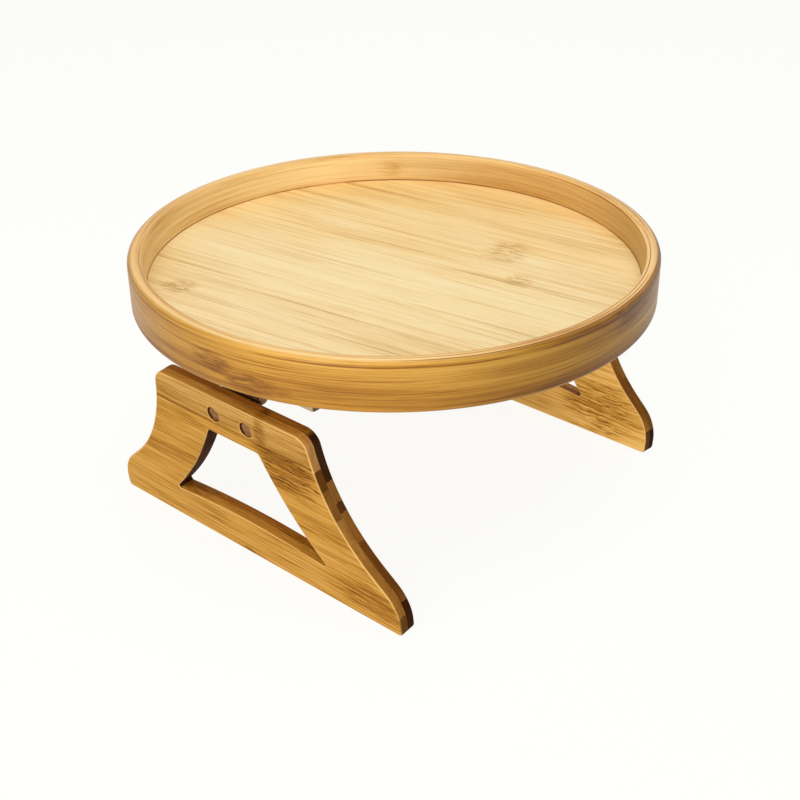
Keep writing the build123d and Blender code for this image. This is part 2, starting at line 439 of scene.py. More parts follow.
class Wood(NodeBook):
    """Shader of one bamboo finish: the figure is worked out from a place in the wood."""

    middle = 0.5
    strip_seed, broad_seed, vein_seed, wave_seed, stroke_seed = 5.0, 3.0, 23.0, 47.0, 77.0
    joint_half_width = 0.2
    joint_wear = Pattern(60.0, 30.0, 1.0, 8.0)
    streak_detail, streak_seed, streak_seed_step = 3.0, 13.0, 7.0
    cluster_length_share, cluster_width_share = 2.5, 9.0
    cluster_detail, cluster_seed = 1.0, 61.0
    cluster_range = (0.38, 0.62)
    fibres = Pattern(16.0, 0.38, 2.0, 90.0)
    fibre_weight = 0.35
    knot_edge = Pattern(24.0, 5.0, 2.0, 31.0)
    knot_raggedness = 1.2
    knot_fade = (1.0, 0.3)
    stroke_range = (0.44, 0.57)
    spots = Pattern(9.0, 4.0, 2.0, 79.0)
    spot_range = (0.5, 0.7)
    ripple_drift = Pattern(22.0, 6.0, 2.0, 83.0)
    ripple_drift_weight = 3.0
    ripple_line = (0.24, 0.08)
    ripple_breaks = Pattern(11.0, 2.2, 1.0, 85.0)
    ripple_break_range = (0.4, 0.5)
    fibre_relief, streak_relief, knot_relief = 0.35, 0.3, 0.5
    sheen = Pattern(40.0, 8.0, 2.0, 120.0)
    sheen_weight, bare_roughness = 0.18, 0.3

    def __init__(self, finish: BambooFinish) -> None:
        """Make the material.

        Args:
            finish: The colours and figure.
        """
        self.finish = finish
        self.material = new_material(finish.name)
        super().__init__(self.material.node_tree)
        coordinates = self.node("ShaderNodeTexCoord")
        self.place = coordinates.outputs["Object"]
        self.normal = coordinates.outputs["Normal"]

    def grain(self) -> Place:
        """Place in the wood: two numbers along the grain, one across it and one in depth."""
        raise NotImplementedError

    def knot_gap(self, knot: Knot) -> Num:
        """Distance from a knot, as a share of its reach."""
        raise NotImplementedError

    def noise(self, place: Place, pattern: Pattern) -> Num:
        """Noise drawn out along the grain.

        Args:
            place: What grain gives.
            pattern: Size of its features, octaves and seed.

        Returns:
            A number that is mostly between 0.25 and 0.75.
        """
        first, second, across, depth = place
        along, aside = 1 / pattern.length, 1 / pattern.width
        sockets = {
            "Vector": self.vector(first * along, second * along, across * aside),
            "W": depth * aside + (self.finish.seed + pattern.seed),
            "Scale": 1.0,
            "Detail": pattern.detail,
        }
        return Num(self, self.node("ShaderNodeTexNoise", {"noise_dimensions": "4D"}, sockets).outputs[0])

    def swing(self, place: Place, pattern: Pattern, weight: float) -> Num:
        """Noise that swings evenly about 0, times a weight."""
        return (self.noise(place, pattern) - self.middle) * weight

    def chance(self, number: Num, seed: float) -> Num:
        """Random number from 0 to 1 for each whole number."""
        sockets = {"W": number + (self.finish.seed + seed)}
        return Num(self, self.node("ShaderNodeTexWhiteNoise", {"noise_dimensions": "1D"}, sockets).outputs[0])

    def ramp(self, number: Num, stops: Stops, interpolation: str = "LINEAR") -> bpy.types.NodeSocket:
        """Colour for a number.

        Args:
            number: The number, from 0 to 1.
            stops: Colours from the left.
            interpolation: How the colours pass into each other.

        Returns:
            The colour socket.
        """
        node = self.node("ShaderNodeValToRGB", {"stops": stops}, {0: number})
        node.color_ramp.interpolation = interpolation
        return node.outputs[0]

    def tinted(self, factor: Num, colour: Any, tint: Colour) -> bpy.types.NodeSocket:
        """Multiply a colour by a tint where a factor is 1."""
        return self.blend(factor, colour, linear(tint), "MULTIPLY")

    def knotted(self, place: Place) -> tuple[Place, Num]:
        """Bend the grain round the knots.

        Args:
            place: What grain gives.

        Returns:
            The bent place and a mask that is 1 in the middle of each knot.
        """
        finish = self.finish
        edge = self.swing(place, self.knot_edge, self.knot_raggedness)
        masks = [(self.knot_gap(knot) + edge).rise(*self.knot_fade) * knot.darkness for knot in finish.knots]
        mask = functools.reduce(Num.larger, masks)
        wave = self.swing(place, Pattern(*finish.wave, seed=self.wave_seed), finish.swing)
        first, second, across, depth = place
        return (first, second, across + wave * mask, depth), mask

    def ripples(self, place: Place, across: Num) -> Num:
        """Draw the thin broken lines that cross a knot.

        Args:
            place: What grain gives.
            across: Place across the grain after its bend round the knots.

        Returns:
            1 on the lines and 0 between them.
        """
        drift = self.noise(place, self.ripple_drift) * self.ripple_drift_weight
        to_line = abs((across * (1 / self.finish.ripple_pitch) + drift).fraction() - self.middle)
        breaks = self.noise(place, self.ripple_breaks).rise(*self.ripple_break_range)
        return to_line.rise(*self.ripple_line) * breaks

    def figure(self, place: Place) -> tuple[Num, Num]:
        """Work out how light the wood is.

        Args:
            place: What grain gives.

        Returns:
            The tone, about 0.5 where plain, and the height for the bump.
        """
        finish = self.finish
        bent, knots = self.knotted(place)
        strip = place[2] * (1 / finish.strip_width) + finish.strip_shift
        tone = (self.chance(strip.whole(), self.strip_seed) - self.middle) * finish.strip_weight + self.middle
        tone = tone + self.swing(place, Pattern(*finish.broad, seed=self.broad_seed), finish.broad_weight)
        tone = tone + self.swing(bent, Pattern(*finish.vein, seed=self.vein_seed), finish.vein_weight)
        half = self.joint_half_width / finish.strip_width
        to_joint = self.middle - abs(strip.fraction() - self.middle)
        joint = to_joint.rise(2 * half, half) * (self.noise(place, self.joint_wear) + self.middle)
        tone = tone - joint * finish.joint_weight
        grooves = joint
        for number, style in enumerate(finish.streaks):
            dark = self.streak(place, bent, style, number)
            tone = tone - dark * style.weight
            grooves = grooves + dark * self.streak_relief
        fibre = self.noise(bent, self.fibres)
        tone = tone + (fibre - self.middle) * self.fibre_weight
        strokes = self.noise(bent, Pattern(*finish.stroke, seed=self.stroke_seed))
        dashes = strokes.rise(*self.stroke_range) * knots
        tone = tone - dashes * finish.knot_weight - knots * finish.knot_shade
        grooves = grooves + dashes * self.knot_relief
        if finish.spot_weight:
            tone = tone - self.noise(place, self.spots).rise(*self.spot_range) * knots * finish.spot_weight
        if finish.ripple_pitch:
            ripples = self.ripples(place, bent[2]) * knots
            tone = tone - ripples * finish.ripple_weight
            grooves = grooves + ripples * self.knot_relief
        return tone, fibre * self.fibre_relief - grooves

    def streak(self, place: Place, bent: Place, style: StreakStyle, number: int) -> Num:
        """Dark fibre bundles, which come in clusters.

        Args:
            place: What grain gives.
            bent: The same, bent round the knots.
            style: The bundles' size and darkness.
            number: Number of the style, which sets its seeds.

        Returns:
            1 in the bundles and 0 between them.
        """
        seed = self.streak_seed + self.streak_seed_step * number
        bundle = self.noise(bent, Pattern(style.length, style.width, self.streak_detail, seed))
        length, width = self.cluster_length_share * style.length, self.cluster_width_share * style.width
        cluster = self.noise(place, Pattern(length, width, self.cluster_detail, self.cluster_seed + number))
        return bundle.rise(style.start, style.full) * cluster.rise(*self.cluster_range)

    def finished(self, colour: Any, height: Num, bare: Num | None = None) -> bpy.types.Material:
        """Join the colour and the relief to a satin lacquered surface.

        Args:
            colour: The base colour.
            height: Relief, 1 for a fibre's depth.
            bare: 1 where end grain has drunk the lacquer, if the piece shows any.

        Returns:
            The material.
        """
        finish = self.finish
        rough = self.swing(self.grain(), self.sheen, self.sheen_weight) + finish.roughness
        coat: Num | float = finish.coat
        if bare is not None:
            rough = rough + bare * self.bare_roughness
            if finish.coat:
                coat = bare * -finish.coat + finish.coat
        self.finish_surface({
            "Base Color": colour,
            "Roughness": rough,
            "Specular IOR Level": finish.specular,
            "Coat Weight": coat,
            "Coat Roughness": finish.coat_roughness,
            "Normal": self.bump(finish.bump_depth, height),
        })
        return self.material


def distance(*shares: Num) -> Num:
    """Length of what several numbers span."""
    return functools.reduce(Num.__add__, [share * share for share in shares]) ** 0.5


@dataclass(frozen=True)
class FlatColours:
    """Tint that a flat piece drifts to at the back left, and colours of its ends and sides; on the board the
    sides' colour is painted shade.
    """

    warm: Colour
    end: Colour
    end_share: float
    side: Colour
    side_share: float


class FlatWood(Wood):
    """Boards and discs: straight grain, turned about Z by an angle."""

    warm_across, warm_along = 0.9, -0.45
    warm_drift = Pattern(90.0, 40.0, 2.0, 200.0)
    warm_drift_reach = 260.0
    warm_range = (-10.0, 120.0)
    facing_range = (0.4, 0.8)

    def __init__(self, finish: BambooFinish, grain_angle: float) -> None:
        """Make the material.

        Args:
            finish: The colours and figure.
            grain_angle: Direction of the grain, in degrees from X towards Y.
        """
        super().__init__(finish)
        turn = math.radians(grain_angle)
        self.along_axis = (math.cos(turn), math.sin(turn), 0.0)
        self.across_axis = (-math.sin(turn), math.cos(turn), 0.0)
        axes = (self.along_axis, self.across_axis, (0.0, 0.0, 1.0))
        self.along, self.across, self.depth = (self.dot(self.place, axis) * (1 / MM) for axis in axes)

    def grain(self) -> Place:
        """Place in the wood, in millimetres."""
        return self.along, 0.0, self.across, self.depth

    def knot_gap(self, knot: Knot) -> Num:
        """Distance from a knot, as a share of its reach."""
        first = (self.along - knot.along) * (1 / knot.reach_along)
        return distance(first, (self.across - knot.across) * (1 / knot.reach_across))

    def write(self, colours: FlatColours) -> bpy.types.Material:
        """Write the whole material.

        Args:
            colours: Tints of its areas, ends and sides, the sides' being painted shade on the board.

        Returns:
            The material.
        """
        place = self.grain()
        tone, height = self.figure(place)
        far = self.across * self.warm_across + self.along * self.warm_along
        far = far + self.swing(place, self.warm_drift, self.warm_drift_reach)
        warmth = far.rise(*self.warm_range)
        colour = self.tinted(warmth, self.ramp(tone, self.finish.tones), colours.warm)
        ends = abs(self.dot(self.normal, self.along_axis)).rise(*self.facing_range)
        sides = abs(self.dot(self.normal, self.across_axis)).rise(*self.facing_range)
        colour = self.blend(ends * colours.end_share, colour, linear(colours.end))
        # On the board the side colour is painted shade on the faces that look along X; on the floor it is the
        # sides' own colour.
        colour = self.blend(sides * colours.side_share, colour, linear(colours.side))
        return self.finished(colour, height, ends)


@dataclass(frozen=True)
class HoopColours:
    """Tones and contrasts of the hoop's sides, and tints of painted light and shade on stretches, by their
    angle and spread.
    """

    outer_tones: Stops
    outer_contrast: float
    inner_contrast: float
    outer_tints: tuple[tuple[float, float, Colour], ...]
    inner_tints: tuple[tuple[float, float, Colour], ...]


class HoopWood(Wood):
    """The tray's rim: the grain runs round the hoop, in thin plies that show on top."""

    ply = 2.0
    ply_wobble = Pattern(90.0, 2.5, 2.0, 150.0)
    ply_wobble_reach = 1.2
    ply_line = (0.2, 0.04)
    ply_up_range = (0.05, 0.5)
    ply_side = (0.97, 0.24)
    ply_side_range = (-0.1, 0.8)
    ply_side_least = 0.15
    ply_breaks = Pattern(70.0, 3.0, 1.0, 151.0)
    ply_break_range = (0.3, 0.6)
    ply_weight, ply_relief = 0.55, 0.6
    edge_wave = Pattern(60.0, 4.0, 1.0, 170.0)
    edge_wave_reach = 2.2
    edge_line_range = (0.9, 0.25)
    edge_breaks = Pattern(45.0, 4.0, 1.0, 171.0)
    edge_break_range = (0.35, 0.6)
    edge_weight, edge_relief = 0.3, 0.5
    outer_start_share, inner_end_share = 0.25, 2.0
    inner_up_range = (0.5, 0.2)
    # Painted shade in the crease where the inner wall meets the floor.
    glue_range = (1.0, 0.2)
    glue_wear = Pattern(25.0, 9.0, 1.0, 180.0)
    glue_weight = 0.9

    def __init__(
        self, finish: BambooFinish, radius: float, top: float, floor: float, rounding: float
    ) -> None:
        """Make the material.

        Args:
            finish: The colours and figure of the top and the inner wall.
            radius: The hoop's outer radius, in millimetres.
            top: Height of its top, in millimetres.
            floor: Height of the tray's floor inside it, in millimetres.
            rounding: Radius of the outer top edge, in millimetres.
        """
        super().__init__(finish)
        self.radius, self.top, self.floor, self.rounding = radius, top, floor, rounding
        self.x, self.y, self.height = self.parts(self.place, 1 / MM)
        self.reach = distance(self.x, self.y)

    def grain(self) -> Place:
        """Place in the wood: round the hoop, up it and through it, in millimetres."""
        share = self.radius / self.reach
        return self.x * share, self.y * share, self.height, self.reach

    def knot_gap(self, knot: Knot) -> Num:
        """Distance from a knot, as a share of its reach.

        Args:
            knot: The knot.

        Returns:
            The share.
        """
        angle = math.radians(knot.along)
        inwards = self.x * math.cos(angle) + self.y * math.sin(angle) - knot.depth
        sideways = self.y * math.cos(angle) - self.x * math.sin(angle)
        up = self.height - knot.across
        reaches = (knot.reach_along, knot.reach_across, knot.reach_depth)
        return distance(*(gap * (1 / reach) for gap, reach in zip((sideways, up, inwards), reaches)))

    def ply_lines(self, place: Place, up: Num) -> Num:
        """Broken lines between the plies on the top, clearest on the right.

        Args:
            place: What grain gives.
            up: How far the surface faces up.

        Returns:
            1 on the lines and 0 between them.
        """
        wobble = self.swing(place, self.ply_wobble, self.ply_wobble_reach)
        ply_place = (self.reach + wobble) * (1 / self.ply)
        to_line = self.middle - abs(ply_place.fraction() - self.middle)
        right = (self.x * self.ply_side[0] + self.y * self.ply_side[1]) / self.reach
        clearness = right.rise(*self.ply_side_range) + self.ply_side_least
        lines = to_line.rise(*self.ply_line) * up.rise(*self.ply_up_range) * clearness
        return lines * self.noise(place, self.ply_breaks).rise(*self.ply_break_range)

    def edge_line(self, place: Place) -> Num:
        """Draw a wavy, broken line along the outer top edge.

        Args:
            place: What grain gives.

        Returns:
            1 on the line and 0 beside it.
        """
        wave = self.swing(place, self.edge_wave, self.edge_wave_reach)
        to_edge = abs(self.height - (self.top - self.rounding) + wave)
        breaks = self.noise(place, self.edge_breaks).rise(*self.edge_break_range)
        return to_edge.rise(*self.edge_line_range) * breaks

    def write(self, colours: HoopColours) -> bpy.types.Material:
        """Write the whole material.

        Args:
            colours: Tones of the outer side, contrasts, and tints of painted light and shade.

        Returns:
            The material.
        """
        place = self.grain()
        tone, height = self.figure(place)
        up = self.parts(self.normal)[2]
        side = self.radius - self.rounding
        outer = self.reach.rise(side, self.radius - self.outer_start_share * self.rounding)
        inwards = self.reach.rise(side, self.radius - self.inner_end_share * self.rounding)
        inner = up.rise(*self.inner_up_range) * inwards
        lines = self.ply_lines(place, up)
        edge = self.edge_line(place) * outer
        tone = tone - lines * self.ply_weight - edge * self.edge_weight
        contrast = inner * (colours.inner_contrast - 1.0) + 1.0 + outer * (colours.outer_contrast - 1.0)
        tone = (tone - self.middle) * contrast + self.middle
        # Painted shade: a thin, broken dark band at the foot of the inner wall, where it meets the floor.
        crease_shade = (self.height - self.floor).rise(*self.glue_range) * inner
        tone = tone - crease_shade * self.noise(place, self.glue_wear) * self.glue_weight
        colour = self.blend(outer, self.ramp(tone, self.finish.tones), self.ramp(tone, colours.outer_tones))
        # Painted light and shade: each stretch of the outer and inner sides is tinted lighter or darker by
        # the way it faces, as the lamps would light it.
        for area, tints in ((outer, colours.outer_tints), (inner, colours.inner_tints)):
            for angle, spread, tint in tints:
                turn = math.radians(angle)
                facing = (self.x * math.cos(turn) + self.y * math.sin(turn)) / self.reach
                near = facing.rise(math.cos(math.radians(spread)), 1.0)
                colour = self.tinted(near * area, colour, tint)
        return self.finished(colour, height - lines * self.ply_relief - edge * self.edge_relief)


@dataclass(frozen=True)
class PlyColours:
    """End grain of a leg's two plies, the lighter strip along the leg's top, and painted light and shade: a
    highlight on the rounded edges and darker faces that look up or into the window.
    """

    front_ends: Stops
    back_ends: Stops
    soaked: Colour
    length: float
    thickness: float
    seam_depth: float
    top_strip_tint: Colour
    top_strip_drop: float
    top_line_weight: float
    edge_line: Colour
    edge_share: float
    window_walls: Colour
    upward: Colour
    upward_behind: Colour


class LegWood(Wood):
    """A leg's plies: the grain runs across the leg, read from the layout that the mesh carries."""

    layout_name = "wood"
    strip_blur, seam_blur = 0.2, 0.01
    strip_line_range = (0.9, 0.2)
    beyond_reach = 10.0
    pore_style = PoreStyle("2D", 1.1, 0.35, 0.1)
    pore_soak, pore_relief = 0.25, 0.4
    smear = Pattern(7.0, 1.6, 3.0, 310.0)
    smear_lean, smear_shift, smear_contrast = 0.05, 0.02, 2.2
    end_range = (0.25, 0.7)
    upward_range = (0.35, 0.8)
    window_slope, window_range = 0.5, (45.0, 38.0)
    # Breaks and reach of the painted highlight on the rounded edges.
    worn = Pattern(30.0, 30.0, 2.0, 330.0)
    worn_range = (0.25, 0.55)
    worn_start, worn_end = (-0.7, -0.4), (-0.02, -0.12)

    def __init__(self, finish: BambooFinish) -> None:
        """Make the material.

        Args:
            finish: The colours and figure.
        """
        super().__init__(finish)
        layout = self.node("ShaderNodeAttribute", {"attribute_name": self.layout_name})
        self.across_leg, self.drop, self.depth = self.parts(layout.outputs["Vector"])

    def grain(self) -> Place:
        """Place in the wood, in millimetres."""
        return self.across_leg, 0.0, self.drop, self.depth

    def knot_gap(self, knot: Knot) -> Num:
        """Distance from a knot, as a share of its reach.

        Args:
            knot: The knot.

        Returns:
            The share, which is large outside the knot's own strip of wood.
        """
        gap = distance(
            (self.across_leg - knot.along) * (1 / knot.reach_along),
            (self.drop - knot.across) * (1 / knot.reach_across),
            (self.depth - knot.depth) * (1 / knot.reach_depth),
        )
        if knot.strip_start is None:
            return gap
        above_strip = (self.drop - knot.strip_start).rise(self.strip_blur, -self.strip_blur)
        return gap + above_strip * self.beyond_reach

    def end_grain(self, colours: PlyColours, behind: Num, pores: Num) -> bpy.types.NodeSocket:
        """Colour of the plies' ends, in steps where one strip of wood follows another.

        Args:
            colours: Colours of the ends.
            behind: 1 on the inner ply.
            pores: 1 in the pores.

        Returns:
            The colour socket.
        """
        smear = self.noise((self.drop, 0.0, self.depth, self.across_leg * self.smear_lean), self.smear)
        share = self.drop * (1 / colours.length) + (smear - self.middle) * self.smear_shift
        front, back = (self.ramp(share, ends, "CONSTANT") for ends in (colours.front_ends, colours.back_ends))
        soaked = (smear - self.middle) * self.smear_contrast + self.middle + pores * self.pore_soak
        return self.tinted(soaked, self.blend(behind, front, back), colours.soaked)

    def write(self, colours: PlyColours) -> bpy.types.Material:
        """Write the whole material.

        Args:
            colours: End grain, the top strip, the painted highlight on the edges, and painted shade on faces
                that look up or into the window.

        Returns:
            The material.
        """
        place = self.grain()
        tone, height = self.figure(place)
        past_top = self.drop - colours.top_strip_drop
        tone = tone - abs(past_top).rise(*self.strip_line_range) * colours.top_line_weight
        top_strip = past_top.rise(self.strip_blur, -self.strip_blur)
        face = self.tinted(top_strip, self.ramp(tone, self.finish.tones), colours.top_strip_tint)
        behind = self.depth.rise(colours.seam_depth + self.seam_blur, colours.seam_depth - self.seam_blur)
        pores = self.pores(self.vector(self.drop, self.depth, 0.0), self.pore_style)
        across, _, up = self.parts(self.normal)
        ends = abs(across).rise(*self.end_range)
        colour = self.blend(ends, face, self.end_grain(colours, behind, pores))
        # Painted shade: faces that look up, the leg's top and the sill, are darkened, and more so on the
        # inner ply.
        shade = up.rise(*self.upward_range)
        in_window = (abs(self.across_leg) - self.drop * self.window_slope).rise(*self.window_range)
        colour = self.tinted(shade, colour, colours.upward)
        colour = self.tinted(shade * behind, colour, colours.upward_behind)
        # Painted shade on the end faces inside the window.
        colour = self.tinted(ends * in_window, colour, colours.window_walls)
        # Painted highlight: a light, broken line on the rounded edges of the broad faces.
        outside = self.depth.larger(colours.thickness - self.depth) - colours.thickness
        highlight_share = self.noise(place, self.worn).rise(*self.worn_range) * colours.edge_share
        line = outside.rise(*self.worn_start) * outside.rise(*self.worn_end) * highlight_share
        colour = self.blend(line, colour, linear(colours.edge_line))
        return self.finished(colour, height - pores * ends * self.pore_relief, ends)


class PlugWood(Wood):
    """Face of the plugs: short end-grain fibres and pores."""

    cloud = Pattern(3.0, 1.2, 3.0, 9.0)
    contrast, pore_weight = 1.1, 0.14
    pore_style = PoreStyle("3D", 1.4, 0.4, 0.15)

    def grain(self) -> Place:
        """Place in the wood, in millimetres."""
        x, y, z = self.parts(self.place, 1 / MM)
        return x, y, z, 0.0

    def write(self) -> bpy.types.Material:
        """Write the whole material.

        Returns:
            The material.
        """
        place = self.grain()
        pores = self.pores(self.vector(*place[:3]), self.pore_style)
        tone = self.swing(place, self.cloud, self.contrast) + self.middle - pores * self.pore_weight
        return self.finished(self.ramp(tone, self.finish.tones), pores * -1.0)


@dataclass(frozen=True)
class SteelFinish:
    """Plated steel with fine brush lines along one axis, and darker in patches."""

    name: str
    bright: Colour
    dull: Colour
    roughness: float
    brush_axis: int
    brush_depth: float = 0.01
    brush_width: float = 0.3 * MM
    brush_length: float = 12 * MM
    brush_detail: float = 2.0
    patch: float = 6 * MM
    patch_detail: float = 3.0
    patch_range: tuple[float, float] = (0.3, 0.7)
    roughness_spread: float = 0.3

    def material(self) -> bpy.types.Material:
        """Write the material.

        Returns:
            The material.
        """
        material = new_material(self.name)
        book = NodeBook(material.node_tree)
        parts = book.parts(book.node("ShaderNodeTexCoord").outputs["Object"])
        sizes = [self.brush_width] * len(parts)
        sizes[self.brush_axis] = self.brush_length
        lines = self._noise(book, parts, sizes, self.brush_detail)
        patches = self._noise(book, parts, [self.patch] * len(parts), self.patch_detail)
        colour = book.blend(patches.rise(*self.patch_range), linear(self.dull), linear(self.bright))
        book.finish_surface({
            "Base Color": colour,
            "Metallic": 1.0,
            "Roughness": (lines - 0.5) * self.roughness_spread + self.roughness,
            "Normal": book.bump(self.brush_depth, lines),
        })
        return material

    @staticmethod
    def _noise(book: NodeBook, parts: Sequence[Num], sizes: Sequence[float], detail: float) -> Num:
        """Noise whose features have a size of their own along each axis.

        Args:
            book: The tree.
            parts: Place along each axis.
            sizes: Size of a feature along each.
            detail: Octaves of finer noise.

        Returns:
            The noise.
        """
        vector = book.vector(*(part * (1 / size) for part, size in zip(parts, sizes)))
        node = book.node("ShaderNodeTexNoise", None, {"Vector": vector, "Scale": 1.0, "Detail": detail})
        return Num(book, node.outputs[0])


class Shell:
    """A closed skin of rings joined by quads, with flat caps, in a piece's own layout."""

    sharp_degrees = 35.0

    def __init__(self) -> None:
        """Start an empty mesh."""
        self.mesh = bmesh.new()

    def wall(self, rings: Sequence[Iterable[Vector]]) -> list[list[bmesh.types.BMVert]]:
        """Join rings of equal count, one after the other.

        Args:
            rings: The rings' points.

        Returns:
            The rings' vertices.
        """
        made = [[self.mesh.verts.new(point) for point in points] for points in rings]
        for lower, upper in zip(made, made[1:]):
            for index, vertex in enumerate(lower):
                after = (index + 1) % len(lower)
                self.mesh.faces.new((vertex, lower[after], upper[after], upper[index]))
        return made

    def lathe(self, profile: Sequence[tuple[float, float]], steps: int) -> list[list[bmesh.types.BMVert]]:
        """Turn a profile of radius and height about Z into a wall."""
        return self.wall([circle(radius, height, steps) for radius, height in profile])

    def cap(self, rings: Sequence[list[bmesh.types.BMVert]]) -> None:
        """Close a flat face.

        Args:
            rings: Its outer ring, then those of its holes.
        """
        vertices = [vertex for ring in rings for vertex in ring]
        for triangle in tessellate_polygon([[vertex.co for vertex in ring] for ring in rings]):
            corners = {vertices[index]: None for index in triangle}
            if len(corners) == len(triangle):
                self.mesh.faces.new(corners)

    def close(self, *walls: list[list[bmesh.types.BMVert]]) -> None:
        """Cap both ends of a wall that others pass through."""
        for end in (0, -1):
            self.cap([wall[end] for wall in walls])

    def piece(
        self, name: str, place: Matrix | None = None, layout: str | None = None
    ) -> bpy.types.Object:
        """Turn the skin into an object whose place is in its mesh.

        Args:
            name: The piece's name.
            place: Where it goes; at the origin if left out.
            layout: Attribute that keeps each point of the piece's own layout, in millimetres.

        Returns:
            The object.
        """
        bmesh.ops.recalc_face_normals(self.mesh, faces=self.mesh.faces)
        data = bpy.data.meshes.new(name)
        self.mesh.to_mesh(data)
        self.mesh.free()
        if layout:
            attribute = data.attributes.new(layout, "FLOAT_VECTOR", "POINT")
            for vertex, entry in zip(data.vertices, attribute.data):
                entry.vector = vertex.co / MM
        if place is not None:
            transform(data, place)
        piece = new_object(name, data)
        smooth_shading(piece, self.sharp_degrees)
        return piece


def transform(data: bpy.types.Mesh, place: Matrix) -> None:
    """Move a mesh, and turn its faces outwards again where that mirrors it.

    Args:
        data: The mesh.
        place: Where it goes.
    """
    data.transform(place)
    if place.determinant() < 0:
        data.flip_normals()


def smooth_shading(piece: bpy.types.Object, degrees: float) -> None:
    """Shade a piece smooth except at edges that turn more than an angle."""
    piece.data.shade_smooth()
    piece.data.set_sharp_from_angle(angle=math.radians(degrees))


def circle(radius: float, height: float, steps: int) -> Ring:
    """Points of a level circle about Z."""
    turns = [2 * math.pi * step / steps for step in range(steps)]
    return [Vector((radius * math.cos(turn), radius * math.sin(turn), height)) for turn in turns]


def rounded_edge(radius: float, steps: int) -> list[tuple[float, float]]:
    """Insets and drops of a rounded edge, from its side to its face."""
    turns = [math.pi / 2 * step / steps for step in range(steps + 1)]
    return [(radius * (1 - math.cos(turn)), radius * (1 - math.sin(turn))) for turn in turns]


def arc_points(centre: Vector, start: Vector, end: Vector, spacing: float) -> Ring:
    """Points of the shorter arc between two points.

    Args:
        centre: The arc's middle.
        start: Its first point.
        end: Its last point.
        spacing: Largest distance between points.

    Returns:
        The points, both ends included.
    """
    least_steps = 5
    first, last = start - centre, end - centre
    turn = math.atan2(first.x * last.y - first.y * last.x, first.dot(last))
    steps = max(least_steps, math.ceil(abs(turn) * first.length / spacing))
    begin = math.atan2(first.y, first.x)
    angles = [begin + turn * step / steps for step in range(steps + 1)]
    return [centre + first.length * Vector((math.cos(angle), math.sin(angle))) for angle in angles]


def tangent_arc(start: Vector, direction: Vector, end: Vector) -> Vector:
    """Centre of the circle that leaves a point along a direction and reaches another point.

    Args:
        start: The first point.
        direction: Direction of the arc there.
        end: The other point.

    Returns:
        The centre.
    """
    normal = Vector((-direction.y, direction.x)).normalized()
    chord = end - start
    return start + normal * (chord.length_squared / (2 * chord.dot(normal)))


def line_corner(before: Vector, corner: Vector, after: Vector, radius: float, spacing: float) -> Ring:
    """Round the corner between two straight lines.

    Args:
        before: A point on the first line.
        corner: Where they meet.
        after: A point on the second line.
        radius: Radius of the rounding.
        spacing: Largest distance between points.

    Returns:
        The rounding's points.
    """
    back = (before - corner).normalized()
    on = (after - corner).normalized()
    half = math.acos(max(-1.0, min(1.0, back.dot(on)))) / 2
    reach = radius / math.tan(half)
    centre = corner + (back + on).normalized() * (radius / math.sin(half))
    return arc_points(centre, corner + back * reach, corner + on * reach, spacing)


def level_corner(
    level: float, arc_centre: Vector, arc_radius: float, radius: float
) -> tuple[Vector, Vector, Vector]:
    """Round the corner between a level line and an arc that curves away from it, at larger heights.

    Args:
        level: Height of the line.
        arc_centre: The arc's centre, to the right of the corner.
        arc_radius: The arc's radius.
        radius: Radius of the rounding.

    Returns:
        The rounding's centre, its point on the line and its point on the arc.
    """
    height = level + radius
    away = math.sqrt((arc_radius + radius) ** 2 - (height - arc_centre.y) ** 2)
    centre = Vector((arc_centre.x - away, height))
    on_arc = arc_centre + (centre - arc_centre) * (arc_radius / (arc_radius + radius))
    return centre, Vector((centre.x, level)), on_arc


def both_halves(right: Ring) -> Ring:
    """Close an outline from its right half, which starts and ends at the middle."""
    nothing = 1e-9
    return right + [Vector((-point.x, point.y)) for point in reversed(right) if abs(point.x) > nothing]


def offset_ring(outline: Ring, distance_in: float, height: float) -> Ring:
    """Move an outline inwards.

    Args:
        outline: A closed outline, clockwise or not.
        distance_in: How far, towards its inside; negative for outwards.
        height: Third coordinate of the result.

    Returns:
        The moved outline.
    """
    sharpest_share = 0.3
    count = len(outline)
    area = sum(
        outline[index - 1].x * outline[index].y - outline[index].x * outline[index - 1].y
        for index in range(count)
    )
    hand = 1 if area > 0 else -1
    moved = []
    for index, point in enumerate(outline):
        back = (point - outline[index - 1]).normalized()
        on = (outline[(index + 1) % count] - point).normalized()
        first, second = (Vector((-way.y, way.x)) * hand for way in (back, on))
        middle = (first + second).normalized()
        step = middle * (distance_in / max(sharpest_share, middle.dot(first)))
        moved.append(Vector((point.x + step.x, point.y + step.y, height)))
    return moved


